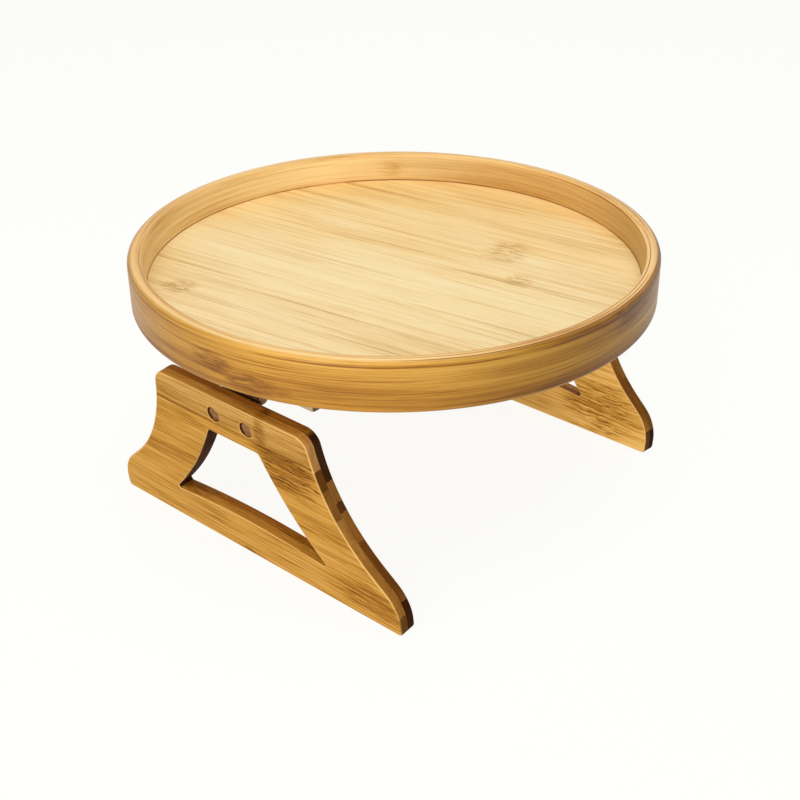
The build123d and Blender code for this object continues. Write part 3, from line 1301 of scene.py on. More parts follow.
@dataclass
class LegShape:
    """A leg's outline and window in its own layout, in metres: X across the leg and Y down it."""

    height: float = 105 * MM
    top_width: float = 116.4 * MM
    top_round: float = 9 * MM
    foot_width: float = 222 * MM
    foot_flare: float = 16 * MM
    foot_flare_height: float = 32 * MM
    foot_side_height: float = 18.1 * MM
    foot_bulge: float = 26 * MM
    foot_corner: float = 2.5 * MM
    window_top: float = 25 * MM
    window_sill_height: float = 21 * MM
    window_sill_crown: float = 3.5 * MM
    top_limb: float = 38.7 * MM
    foot_limb: float = 49.5 * MM
    window_hollow: float = 3.2 * MM
    window_top_round: float = 2.5 * MM
    window_bottom_round: float = 1.5 * MM
    spacing: float = 1.2 * MM

    def outline(self) -> Ring:
        """Draw the outer outline.

        Returns:
            The outline, from the middle of its top.
        """
        flank_end = Vector((self.foot_width / 2 - self.foot_flare, self.height - self.foot_flare_height))
        shoulder = Vector((self.foot_width / 2, self.height - self.foot_side_height))
        foot = Vector((self.foot_width / 2, self.height))
        foot_middle = Vector((0, self.height))
        top = Vector((self.top_width / 2, 0))
        centre = tangent_arc(flank_end, flank_end - shoulder, top)
        round_centre, on_top, on_flank = level_corner(0.0, centre, (top - centre).length, self.top_round)
        right = [Vector((0, 0))]
        right += arc_points(round_centre, on_top, on_flank, self.spacing)
        right += arc_points(centre, on_flank, flank_end, self.spacing)[1:]
        right += line_corner(flank_end, shoulder, foot, self.foot_bulge, self.spacing)
        right += line_corner(shoulder, foot, foot_middle, self.foot_corner, self.spacing)
        return both_halves(right + [foot_middle])

    def window(self) -> Ring:
        """Draw the window.

        Returns:
            The outline, from the middle of its top.
        """
        bottom = self.height - self.window_sill_height
        top_end = Vector((self.top_width / 2 - self.top_limb, self.window_top))
        foot_end = Vector((self.foot_width / 2 - self.foot_limb, bottom))
        chord = foot_end - top_end
        radius = chord.length_squared / (8 * self.window_hollow) + self.window_hollow / 2
        away = Vector((chord.y, -chord.x)).normalized()
        centre = (top_end + foot_end) / 2 + away * (radius - self.window_hollow)
        crown = Vector((0, bottom - self.window_sill_crown))
        sill_centre = tangent_arc(crown, Vector((1, 0)), foot_end)
        sill_radius = (foot_end - sill_centre).length
        top_centre, on_top, on_jamb = level_corner(self.window_top, centre, radius, self.window_top_round)
        foot_centre, jamb_end, on_sill = self._sill_corner(centre, radius, sill_centre, sill_radius)
        right = [Vector((0, self.window_top))]
        right += arc_points(top_centre, on_top, on_jamb, self.spacing)
        right += arc_points(centre, on_jamb, jamb_end, self.spacing)[1:]
        right += arc_points(foot_centre, jamb_end, on_sill, self.spacing)[1:]
        right += arc_points(sill_centre, on_sill, crown, self.spacing)[1:]
        return both_halves(right)

    def _sill_corner(
        self, jamb_centre: Vector, jamb_radius: float, sill_centre: Vector, sill_radius: float
    ) -> tuple[Vector, Vector, Vector]:
        """Round the corner between a jamb and the crowned sill.

        Args:
            jamb_centre: Centre of the jamb's arc, outside the window.
            jamb_radius: Its radius.
            sill_centre: Centre of the sill's arc, below the window.
            sill_radius: Its radius.

        Returns:
            The rounding's centre and its points on the jamb and on the sill.
        """
        radius = self.window_bottom_round
        first, second = jamb_radius + radius, sill_radius + radius
        between = sill_centre - jamb_centre
        along = (first**2 - second**2 + between.length_squared) / (2 * between.length)
        beside = math.sqrt(first**2 - along**2)
        unit = between.normalized()
        aside = Vector((-unit.y, unit.x))
        options = [jamb_centre + unit * along + aside * beside * hand for hand in (-1, 1)]
        near = Vector((self.foot_width / 4, self.height))
        inner = min(options, key=lambda point: abs(point.x - near.x) + abs(point.y - near.y))
        on_jamb = jamb_centre + (inner - jamb_centre) * (jamb_radius / first)
        on_sill = sill_centre + (inner - sill_centre) * (sill_radius / second)
        return inner, on_jamb, on_sill


class ShapeTree(NodeBook):
    """Geometry nodes with named inputs, which give real geometry with one material."""

    def __init__(self, name: str, inputs: dict[str, str]) -> None:
        """Start the tree.

        Args:
            name: Its name.
            inputs: Socket type of each of its inputs, by the input's name.
        """
        group = bpy.data.node_groups.new(name, "GeometryNodeTree")
        super().__init__(group)
        self.sockets = {
            key: group.interface.new_socket(key, in_out="INPUT", socket_type=kind).identifier
            for key, kind in inputs.items()
        }
        group.interface.new_socket("Geometry", in_out="OUTPUT", socket_type="NodeSocketGeometry")
        self.given = self.node("NodeGroupInput").outputs
        self.index = self.node("GeometryNodeInputIndex").outputs[0]

    def size(self, name: str) -> Num:
        """One of the inputs, as a number."""
        return Num(self, self.given[name])

    def shape(self, kind: str, sockets: dict[int | str, Any], **settings: Any) -> bpy.types.NodeSocket:
        """Add a node and give its first output."""
        return self.node(kind, settings, sockets).outputs[0]

    def hand_out(self, geometry: bpy.types.NodeSocket, material: Any) -> None:
        """Make a geometry real, dress it and lead it to the output.

        Args:
            geometry: The geometry socket.
            material: A material or a material socket.
        """
        real = self.shape("GeometryNodeRealizeInstances", {"Geometry": geometry})
        dressed = self.shape("GeometryNodeSetMaterial", {"Geometry": real, "Material": material})
        self.node("NodeGroupOutput", None, {"Geometry": dressed})

    def grow(self, name: str, sizes: dict[str, Any]) -> bpy.types.Object:
        """Run the tree and keep its result as a plain mesh.

        Args:
            name: Name of the piece.
            sizes: Values of the inputs by name.

        Returns:
            The piece, with no modifier left on it.
        """
        piece = new_object(name, bpy.data.meshes.new(name))
        modifier = piece.modifiers.new("shape", "NODES")
        modifier.node_group = self.tree
        for key, value in sizes.items():
            modifier[self.sockets[key]] = value
        graph = bpy.context.evaluated_depsgraph_get()
        mesh = bpy.data.meshes.new_from_object(
            piece.evaluated_get(graph), preserve_all_data_layers=True, depsgraph=graph
        )
        piece.modifiers.clear()
        piece.data = mesh
        mesh.name = name
        return piece


class HoopTree(ShapeTree):
    """The tray's rim: a section with rounded corners, swept round a circle."""

    heights = ("Top", "Floor", "Ledge", "Bottom")
    reaches = ("Radius", "Wall", "Draft", "Groove", "Outer round", "Inner round", "Foot round", "Break")

    def __init__(self, material: bpy.types.Material, steps_round: int, steps_corner: int) -> None:
        """Write the tree.

        Args:
            material: Finish of the hoop.
            steps_round: Segments round the hoop.
            steps_corner: Segments in each rounded corner.
        """
        names = self.heights + self.reaches
        super().__init__("hoop", {name: "NodeSocketFloat" for name in names})
        size = {name: self.size(name) for name in names}
        inner = size["Wall"] * -1
        foot = inner - size["Draft"]
        groove = inner + size["Groove"]
        corners = (
            (0.0, size["Bottom"], size["Foot round"]),
            (0.0, size["Top"], size["Outer round"]),
            (inner, size["Top"], size["Inner round"]),
            (foot, size["Floor"], 0.0),
            (foot, size["Ledge"], size["Break"]),
            (groove, size["Ledge"], 0.0),
            (groove, size["Bottom"], size["Break"]),
        )
        places = self._pick("VECTOR", [self.vector(x, y * -1, 0.0) for x, y, _ in corners])
        rounds = self._pick("FLOAT", [radius for _, _, radius in corners])
        points = self.shape("GeometryNodeMeshLine", {"Count": len(corners)}, mode="OFFSET")
        line = self.shape("GeometryNodeMeshToCurve", {0: points})
        closed = self.shape("GeometryNodeSetSplineCyclic", {"Geometry": line, "Cyclic": True})
        placed = self.shape("GeometryNodeSetPosition", {"Geometry": closed, "Position": places})
        section = self.shape(
            "GeometryNodeFilletCurve", {"Curve": placed, "Count": steps_corner, "Radius": rounds}, mode="POLY"
        )
        path = self.shape(
            "GeometryNodeCurvePrimitiveCircle",
            {"Resolution": steps_round, "Radius": size["Radius"]},
            mode="RADIUS",
        )
        skin = self.shape("GeometryNodeCurveToMesh", {"Curve": path, "Profile Curve": section})
        self.hand_out(skin, material)

    def _pick(self, kind: str, values: list) -> bpy.types.NodeSocket:
        """Choose one of several values by the corner's index."""
        sockets = {"Index": self.index, **{number + 1: value for number, value in enumerate(values)}}
        return self.shape("GeometryNodeIndexSwitch", sockets, data_type=kind, items=len(values))


class RowsTree(ShapeTree):
    """Copies of one piece in rows and columns."""

    def __init__(self) -> None:
        """Write the tree."""
        kinds = ("Object", "Int", "Int", "Float", "Float", "Material")
        names = ("Piece", "Columns", "Rows", "Column pitch", "Row pitch", "Finish")
        super().__init__("rows_of_pieces", {name: f"NodeSocket{kind}" for name, kind in zip(names, kinds)})
        columns, rows = self.size("Columns"), self.size("Rows")
        index = Num(self, self.index)
        row = ((index + 0.5) / columns).whole()
        column = index - row * columns
        across = (column - (columns - 1) * 0.5) * self.size("Column pitch")
        along = (row - (rows - 1) * 0.5) * self.size("Row pitch")
        points = self.shape(
            "GeometryNodePoints", {"Count": columns * rows, "Position": self.vector(across, along, 0.0)}
        )
        source = self.node("GeometryNodeObjectInfo", None, {"Object": self.given["Piece"]})
        copies = self.shape(
            "GeometryNodeInstanceOnPoints", {"Points": points, "Instance": source.outputs["Geometry"]}
        )
        self.hand_out(copies, self.given["Finish"])


@dataclass(frozen=True)
class Role:
    """A piece's body, its material slot and the CAD node that it stands for."""

    body: str
    slot: Slot
    node: str


@dataclass
class Workshop:
    """What the sub-assemblies share: the frame, the finishes and the tree that repeats pieces."""

    frame: dict[str, Any]
    finishes: dict[Slot, bpy.types.Material]
    rows: RowsTree
    weld: float = 0.002 * MM
    copy_sharp_degrees: float = 30.0
    made: int = 0

    def hand_over(
        self, piece: bpy.types.Object, role: Role, finish: bpy.types.Material | None = None
    ) -> None:
        """Dress a piece, set it on its body and hide the CAD node that it stands for.

        Args:
            piece: The finished piece.
            role: Its body, slot and node.
            finish: Its material, if not the slot's own.
        """
        piece.data.materials.clear()
        piece.data.materials.append(finish or self.finishes[role.slot])
        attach(piece, role.body)
        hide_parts(role.node)
        self.made += 1
        LOG.info("%s: %d faces, moves with %s", piece.name, len(piece.data.polygons), role.body)

    def carry_over(self, role: Role) -> None:
        """Stand a welded, smoothly shaded copy in for a CAD node whose shape is right.

        Args:
            role: Body, slot and node.
        """
        data = self.frame["nodes"][role.node].data.copy()
        skin = bmesh.new()
        skin.from_mesh(data)
        bmesh.ops.remove_doubles(skin, verts=skin.verts, dist=self.weld)
        skin.to_mesh(data)
        skin.free()
        if data.has_custom_normals:
            data.attributes.remove(data.attributes["custom_normal"])
        piece = new_object(f"{role.node}_piece", data)
        smooth_shading(piece, self.copy_sharp_degrees)
        self.hand_over(piece, role)

    def set_copies(
        self, name: str, one: bpy.types.Object, counts: tuple[int, int], pitches: tuple[float, float],
        place: Matrix, role: Role,
    ) -> None:
        """Set copies of a piece in rows and columns on a plane.

        Args:
            name: Name of the result, which is one mesh.
            one: The piece to repeat, which is used up.
            counts: Columns and rows.
            pitches: Distances between columns and between rows.
            place: The plane's place, with its origin in the middle of the pattern.
            role: Body, slot and node of the copies.
        """
        sizes = {
            "Piece": one,
            "Columns": counts[0],
            "Rows": counts[1],
            "Column pitch": pitches[0],
            "Row pitch": pitches[1],
            "Finish": self.finishes[role.slot],
        }
        piece = self.rows.grow(name, sizes)
        transform(piece.data, place)
        bpy.data.objects.remove(one)
        smooth_shading(piece, Shell.sharp_degrees)
        self.hand_over(piece, role)


@dataclass
class ScrewSizes:
    """A countersunk screw with a tapered cross recess, its head flush with Z = 0 and pointing down."""

    radius: float
    head_radius: float
    length: float
    point_share: float = 1.5
    tip_share: float = 0.2
    edge: float = 0.12 * MM
    slot_reach_share: float = 0.62
    slot_width_share: float = 0.22
    recess_depth_share: float = 0.62
    recess_taper: float = 0.45
    steps: int = 48

    def piece(self) -> bpy.types.Object:
        """Build one screw.

        Returns:
            The screw.
        """
        shell = Shell()
        head_height = self.head_radius - self.radius
        profile = [
            (self.radius * self.tip_share, -self.length),
            (self.radius, self.radius * self.point_share - self.length),
            (self.radius, -head_height),
            (self.head_radius, -self.edge),
            (self.head_radius - self.edge, 0.0),
        ]
        rings = shell.lathe(profile, self.steps)
        shell.cap([rings[0]])
        depth = head_height * self.recess_depth_share
        recess = shell.wall([self._cross(1.0, 0.0), self._cross(self.recess_taper, -depth)])
        shell.cap([rings[-1], recess[0]])
        shell.cap([recess[-1]])
        return shell.piece("one_screw")

    def _cross(self, scale: float, height: float) -> Ring:
        """Outline of the recess, whose arms narrow half as fast as they shorten.

        Args:
            scale: The arms' length as a share of that at the top.
            height: Height of the outline.

        Returns:
            The outline.
        """
        reach = self.head_radius * self.slot_reach_share * scale
        half = self.head_radius * self.slot_width_share / 2 * (0.5 + scale / 2)
        turns = [Matrix.Rotation(math.pi / 2 * quarter, 2) for quarter in range(4)]
        arm = [(reach, -half), (reach, half), (half, half)]
        return [Vector((*(turn @ Vector(corner)), height)) for turn in turns for corner in arm]


@dataclass
class Tray:
    """The hoop, the floor, the cross board and the board's screws. Sizes are in metres."""

    shop: Workshop
    hoop_finish: bpy.types.Material
    body: str = "tray"
    wall: float = 8 * MM
    draft: float = 1.5 * MM
    groove: float = 3 * MM
    rebate: float = 2 * MM
    outer_round: float = 3 * MM
    inner_round: float = 2.5 * MM
    foot_round: float = 2.5 * MM
    ledge_break: float = 0.2 * MM
    steps_round: int = 288
    steps_corner: int = 8
    sharp_degrees: float = 40.0
    board_screw_radius: float = 2 * MM
    board_screw_side_margin: float = 16 * MM
    board_screw_end_margin: float = 48 * MM

    def build(self) -> None:
        """Build and dress every piece."""
        self.build_hoop()
        self.shop.carry_over(Role(self.body, Slot.FLOOR, "tray_floor"))
        self.shop.carry_over(Role(self.body, Slot.BOARD, "cross_board"))
        self.build_board_screws()

    def build_hoop(self) -> None:
        """Sweep the rim round the floor."""
        low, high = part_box("tray_rim")
        floor_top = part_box("tray_floor")[1].z
        values = {
            "Radius": max(high.x, high.y),
            "Wall": self.wall,
            "Draft": self.draft,
            "Groove": self.groove,
            "Top": high.z,
            "Floor": floor_top,
            "Ledge": floor_top - self.rebate,
            "Bottom": low.z,
            "Outer round": self.outer_round,
            "Inner round": self.inner_round,
            "Foot round": self.foot_round,
            "Break": self.ledge_break,
        }
        hoop = HoopTree(self.hoop_finish, self.steps_round, self.steps_corner).grow("hoop", values)
        smooth_shading(hoop, self.sharp_degrees)
        self.shop.hand_over(hoop, Role(self.body, Slot.RIM, "tray_rim"), self.hoop_finish)

    def build_board_screws(self) -> None:
        """Set the four screws that hold the board to the floor."""
        role = Role(self.body, Slot.SCREW, "cross_board_screws")
        low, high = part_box("cross_board")
        screws_low, screws_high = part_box(role.node)
        width = high.x - low.x - 2 * self.board_screw_side_margin
        length = high.y - low.y - 2 * self.board_screw_end_margin
        head = (screws_high.x - screws_low.x - width) / 2
        one = ScrewSizes(self.board_screw_radius, head, screws_high.z - screws_low.z).piece()
        upside_down = Matrix.Translation((0, 0, low.z)) @ Matrix.Rotation(math.pi, 4, "X")
        self.shop.set_copies("board_screws", one, (2, 2), (width, length), upside_down, role)


@dataclass
class HingeSizes:
    """Sizes of the hinges and of the fasteners in the legs, in metres."""

    knuckle_radius: float = 3.4 * MM
    knuckle_clearance: float = 0.3 * MM
    leaf_thickness: float = 1.5 * MM
    screw_spacing: float = 25 * MM
    leg_screw_drop: float = 12.5 * MM
    leaf_screw_drop: float = 14 * MM
    leaf_screw_radius: float = 1.5 * MM
    leaf_screw_head: float = 3 * MM
    leaf_screw_length: float = 14 * MM
    leg_screw_radius: float = 2 * MM
    leg_screw_head: float = 3.8 * MM
    screw_clearance: float = 0.05 * MM
    nut_sides: int = 6
    nut_flats: float = 7 * MM
    nut_thickness: float = 3.2 * MM
    nut_trim: float = 0.4 * MM
    nut_corner_slope: float = math.tan(math.radians(30))
    pocket_radius: float = 4.6 * MM
    plug_recess: float = 1.6 * MM
    plug_thickness: float = 3.6 * MM
    plug_gap: float = 0.1 * MM
    plug_trim: float = 0.4 * MM
    washer_radius: float = 3.1 * MM
    washer_bore: float = 1.95 * MM
    washer_thickness: float = 0.5 * MM
    washer_round: float = 0.1 * MM
    washer_pitch: float = 5.71 * MM
    washer_count: int = 4


@dataclass
class Leg:
    """One leg: two plies, plugs, screws, nuts, and the hinge that it swings on. In metres."""

    shop: Workshop
    side: Side
    leg_finish: bpy.types.Material
    shape: LegShape = field(default_factory=LegShape)
    hinge: HingeSizes = field(default_factory=HingeSizes)
    thickness: float = 10.5 * MM
    edge_round: float = 1.2 * MM
    window_edge_round: float = 0.8 * MM
    pocket_edge_round: float = 0.6 * MM
    face_margin: float = 0.3 * MM
    seam_break: float = 0.12 * MM
    lean: float = math.radians(6.75)
    round_steps: int = 6
    pocket_round_steps: int = 4
    circle_steps: int = 48

    def __post_init__(self) -> None:
        """Find the pin and the directions down and out from it."""
        joint = next(j for j in self.shop.frame["joints"] if j["name"].startswith(self.side.word))
        sign = self.side.value
        self.body = joint["child"]
        self.tray_body = joint["parent"]
        self.pivot = Vector(joint["pos_m"])
        self.out = Vector((0, sign * math.cos(self.lean), -math.sin(self.lean)))
        self.down = Vector((0, -sign * math.sin(self.lean), -math.cos(self.lean)))
        self.mount = self.hinge.knuckle_radius + self.hinge.knuckle_clearance
        self.leaf_face = self.mount - self.hinge.leaf_thickness
        self.seam = self.thickness / 2
        self.pocket_floor = self.thickness - self.hinge.plug_recess - self.hinge.plug_thickness

    def role(self, node: str, slot: Slot, body: str) -> Role:
        """Role of a piece that stands for one of this side's nodes."""
        return Role(body, slot, f"{self.side.word}_{node}")

    def placed(self, out: float, down: float = 0.0) -> Matrix:
        """Place of a plane on the leg: X along +X, Y down the leg and Z out of it.

        Args:
            out: Distance of the plane from the pin, outwards.
            down: Distance of its origin down the leg.

        Returns:
            The place, which mirrors where the side asks for it.
        """
        origin = self.pivot + self.out * out + self.down * down
        axes = Matrix((Vector((1, 0, 0)), self.down, self.out)).transposed().to_4x4()
        return Matrix.Translation(origin) @ axes

    def build(self) -> None:
        """Build and dress every piece."""
        self.build_plies()
        self.build_plugs()
        self.build_nuts()
        self.build_board_leaf_screws()
        self.build_washers()
        for node, slot, body in (
            ("leg_screws", Slot.SCREW, self.body),
            ("leg_leaf", Slot.HINGE, self.body),
            ("board_leaf", Slot.HINGE, self.tray_body),
            ("hinge_pin", Slot.PIN, self.tray_body),
        ):
            self.shop.carry_over(self.role(node, slot, body))

    def build_plies(self) -> None:
        """Build the two plies, which meet at a fine seam."""
        outline, window = self.shape.outline(), self.shape.window()
        half_spacing = self.hinge.screw_spacing / 2
        for word, outer in (("front", True), ("back", False)):
            shell = Shell()
            rim = [offset_ring(outline, *step) for step in self.profile(self.edge_round, outer)]
            jambs = [
                offset_ring(window, -inset, height)
                for inset, height in self.profile(self.window_edge_round, outer)
            ]
            walls = [shell.wall(rim), shell.wall(jambs)]
            walls += [self.screw_hole(shell, across, outer) for across in (-half_spacing, half_spacing)]
            shell.close(*walls)
            name = f"{self.side.word}_{word}_ply"
            piece = shell.piece(name, self.placed(self.mount), LegWood.layout_name)
            self.shop.hand_over(piece, self.role("leg", Slot.LEG, self.body), self.leg_finish)

    def profile(self, radius: float, outer: bool) -> list[tuple[float, float]]:
        """Insets and heights of a ply's rings, from its lower face to its upper one.

        Args:
            radius: Rounding of the edge at the leg's broad face.
            outer: Whether this is the outer ply.

        Returns:
            Pairs of inset and height above the leg's inner face.
        """
        rounded = [(inset, self.thickness - drop) for inset, drop in rounded_edge(radius, self.round_steps)]
        steps = [
            (self.seam_break + self.face_margin, self.seam),
            (self.seam_break, self.seam),
            (0.0, self.seam + self.seam_break),
            *rounded,
            (radius + self.face_margin, self.thickness),
        ]
        if outer:
            return steps
        return [(inset, self.thickness - height) for inset, height in reversed(steps)]

    def screw_hole(self, shell: Shell, across: float, outer: bool) -> list[list[bmesh.types.BMVert]]:
        """Wall of a pocket in the outer ply, or of a countersunk hole in the inner one.

        Args:
            shell: The ply.
            across: The hole's place across the leg.
            outer: Whether this is the outer ply.

        Returns:
            The wall's rings, from the lower face to the upper one.
        """
        hinge = self.hinge
        middle = Vector((across, hinge.leg_screw_drop, 0))
        if outer:
            mouth = rounded_edge(self.pocket_edge_round, self.pocket_round_steps)
            steps = [(hinge.pocket_radius, self.seam)]
            steps += [(hinge.pocket_radius + inset, self.thickness - drop) for inset, drop in mouth]
        else:
            shank = hinge.leg_screw_radius + hinge.screw_clearance
            top = hinge.leg_screw_head + hinge.screw_clearance + self.seam - self.pocket_floor
            steps = [(shank, 0.0), (shank, self.seam - (top - shank)), (top, self.seam)]
        return shell.wall([[point + middle for point in circle(r, h, self.circle_steps)] for r, h in steps])

    def build_plugs(self) -> None:
        """Set the plugs in the pockets, over the screws."""
        hinge = self.hinge
        radius = hinge.pocket_radius - hinge.plug_gap
        shell = Shell()
        profile = [
            (radius, 0.0),
            (radius, hinge.plug_thickness - hinge.plug_trim),
            (radius - hinge.plug_trim, hinge.plug_thickness),
        ]
        shell.close(shell.lathe(profile, self.circle_steps))
        self.set_at_screws("plugs", shell.piece("one_plug"), self.mount + self.pocket_floor, Slot.PLUG)

    def build_nuts(self) -> None:
        """Set the nuts on the leaf."""
        hinge = self.hinge
        steps = 2 * self.circle_steps
        turns = [2 * math.pi * step / steps for step in range(steps)]
        side, flat = 2 * math.pi / hinge.nut_sides, hinge.nut_flats / 2
        depth, trim = hinge.nut_thickness, hinge.nut_trim
        reaches = [flat / math.cos((turn % side) - side / 2) for turn in turns]
        bore = hinge.leg_screw_radius + hinge.screw_clearance
        rings = []
        for inner, height, hand in ((True, 0.0, 0), (False, 0.0, 1), (False, depth, -1), (True, depth, 0)):
            ring = []
            for turn, reach in zip(turns, reaches):
                radius = min(reach, flat) if inner else reach
                level = height + (reach - flat) * hinge.nut_corner_slope * hand
                ring.append(Vector((radius * math.cos(turn), radius * math.sin(turn), -level)))
            rings.append(ring)
        shell = Shell()
        outside = shell.wall(rings)
        inside = [(bore + trim, 0.0), (bore, -trim), (bore, trim - depth), (bore + trim, -depth)]
        shell.close(outside, shell.lathe(inside, steps))
        self.set_at_screws("nuts", shell.piece("one_nut"), self.leaf_face, Slot.SCREW)

    def set_at_screws(self, name: str, one: bpy.types.Object, out: float, slot: Slot) -> None:
        """Set two copies of a piece at the leg's screws.

        Args:
            name: What the copies are called, here and in their node's name.
            one: The piece, used up.
            out: Distance of its origin from the pin, outwards.
            slot: Its material slot.
        """
        place = self.placed(out, self.hinge.leg_screw_drop)
        role = self.role(f"leg_{name}", slot, self.body)
        self.set_row(name, one, 2, self.hinge.screw_spacing, place, role)

    def set_row(
        self, name: str, one: bpy.types.Object, count: int, pitch: float, place: Matrix, role: Role
    ) -> None:
        """Set copies of a piece in a row along the pin."""
        self.shop.set_copies(f"{self.side.word}_{name}", one, (count, 1), (pitch, 0.0), place, role)

    def build_board_leaf_screws(self) -> None:
        """Set the wood screws that hold the upper leaf to the board."""
        hinge = self.hinge
        one = ScrewSizes(hinge.leaf_screw_radius, hinge.leaf_screw_head, hinge.leaf_screw_length).piece()
        inwards = -self.side.value * hinge.leaf_screw_drop
        origin = self.pivot + Vector((0, inwards, self.leaf_face))
        place = Matrix.Translation(origin) @ Matrix.Rotation(math.pi, 4, "X")
        role = self.role("board_leaf_screws", Slot.SCREW, self.tray_body)
        self.set_row("leaf_screws", one, 2, hinge.screw_spacing, place, role)

    def build_washers(self) -> None:
        """Set the spring washers between the knuckles."""
        hinge = self.hinge
        half, soft, radius = hinge.washer_thickness / 2, hinge.washer_round, hinge.washer_radius
        outer = [(radius - soft, -half), (radius, soft - half), (radius, half - soft), (radius - soft, half)]
        inner = [(hinge.washer_bore, -half), (hinge.washer_bore, half)]
        shell = Shell()
        shell.close(*(shell.lathe(profile, self.circle_steps) for profile in (outer, inner)))
        upright = shell.piece("one_washer", Matrix.Rotation(math.pi / 2, 4, "Y"))
        role = self.role("hinge_washers", Slot.WASHER, self.tray_body)
        place = Matrix.Translation(self.pivot)
        self.set_row("washers", upright, hinge.washer_count, hinge.washer_pitch, place, role)


@dataclass
class View:
    """The photograph's camera. Angles are in degrees."""

    azimuth: float = 41.37
    pitch: float = 29.82
    roll: float = 0.47
    lens: float = 58.95
    sensor: float = 36.0
    nearest: float = 0.01
    place: tuple[float, float, float] = (0.4597, -0.5179, 0.4445)

    def build(self) -> None:
        """Add the camera and make it the scene's."""
        turn, tip, roll = (math.radians(angle) for angle in (self.azimuth, self.pitch, self.roll))
        forward = Vector((-math.sin(turn) * math.cos(tip), math.cos(turn) * math.cos(tip), -math.sin(tip)))
        level = Vector((math.cos(turn), math.sin(turn), 0))
        upright = level.cross(forward)
        right = level * math.cos(roll) - upright * math.sin(roll)
        up = upright * math.cos(roll) + level * math.sin(roll)
        data = bpy.data.cameras.new("camera")
        data.lens = self.lens
        data.sensor_width = self.sensor
        data.clip_start = self.nearest
        camera = new_object("camera", data)
        axes = Matrix((right, up, -forward)).transposed().to_4x4()
        camera.matrix_world = Matrix.Translation(self.place) @ axes
        bpy.context.scene.camera = camera


@dataclass(frozen=True)
class Lamp:
    """A square soft lamp, in metres and watts."""

    name: str
    place: tuple[float, float, float]
    aim: tuple[float, float, float]
    size: float
    power: float

    def build(self) -> None:
        """Hang the lamp and turn it to what it lights."""
        data = bpy.data.lights.new(self.name, "AREA")
        data.shape = "SQUARE"
        data.size = self.size
        data.energy = self.power
        place = Vector(self.place)
        turn = (Vector(self.aim) - place).to_track_quat("-Z", "Y")
        new_object(self.name, data).matrix_world = Matrix.Translation(place) @ turn.to_matrix().to_4x4()


@dataclass
class Studio:
    """A pale floor, soft lamps and a white surround."""

    floor_half_width: float = 4.0
    floor_colour: Colour = (255, 255, 252)
    bounce_colour: Colour = (240, 239, 236)
    glow: float = 0.92
    bounce_glow: float = 0.45
    sky: float = 0.42
    lamps: tuple[Lamp, ...] = (
        Lamp("key", (0.2, -1.05, 1.4), (0.0, 0.0, 0.1), 1.1, 9.0),
        Lamp("top", (0.25, 0.1, 1.7), (0.0, 0.0, 0.1), 1.0, 9.0),
        Lamp("front", (0.5, -1.9, 0.3), (0.05, 0.1, 0.05), 0.7, 17.0),
    )

    def build(self) -> None:
        """Build the floor, the lamps and the world."""
        bpy.context.scene.view_settings.view_transform = "Standard"
        self.build_floor()
        for lamp in self.lamps:
            lamp.build()
        self.build_world()

    def build_floor(self) -> None:
        """Lay the floor, which looks white to the camera and keeps a soft shadow."""
        half = self.floor_half_width
        sheet = bmesh.new()
        corners = ((-half, -half), (half, -half), (half, half), (-half, half))
        sheet.faces.new([sheet.verts.new((x, y, 0)) for x, y in corners])
        data = bpy.data.meshes.new("studio_floor")
        sheet.to_mesh(data)
        sheet.free()
        material = new_material("studio_floor")
        book = NodeBook(material.node_tree)
        seen = self.seen(book)
        colour = book.blend(seen, linear(self.bounce_colour), linear(self.floor_colour))
        matt = book.node("ShaderNodeBsdfDiffuse", None, {"Color": colour})
        light = book.node("ShaderNodeEmission", None, {"Color": linear(self.floor_colour), "Strength": 1.0})
        share = seen * (self.glow - self.bounce_glow) + self.bounce_glow
        mixed = book.node("ShaderNodeMixShader", None, {0: share, 1: matt.outputs[0], 2: light.outputs[0]})
        clear = book.node("ShaderNodeBsdfTransparent")
        below = book.node("ShaderNodeNewGeometry").outputs["Backfacing"]
        whole = book.node("ShaderNodeMixShader", None, {0: below, 1: mixed.outputs[0], 2: clear.outputs[0]})
        book.node("ShaderNodeOutputMaterial", None, {"Surface": whole.outputs[0]})
        data.materials.append(material)
        new_object("studio_floor", data)

    @staticmethod
    def seen(book: NodeBook) -> Num:
        """Tell what the camera sees, itself or in a gloss or through glass.

        Args:
            book: The tree.

        Returns:
            1 for such rays and 0 for others.
        """
        path = book.node("ShaderNodeLightPath").outputs
        rays = ("Is Camera Ray", "Is Glossy Ray", "Is Transmission Ray")
        return functools.reduce(Num.larger, [Num(book, path[ray]) for ray in rays])

    def build_world(self) -> None:
        """Light the scene softly from all round, and show white behind it."""
        world = bpy.data.worlds.new("studio")
        world.use_nodes = True
        bpy.context.scene.world = world
        book = NodeBook(world.node_tree)
        strength = self.seen(book) * (1 - self.sky) + self.sky
        back = book.node("ShaderNodeBackground", None, {"Color": (1, 1, 1, 1), "Strength": strength})
        book.node("ShaderNodeOutputWorld", None, {"Surface": back.outputs[0]})


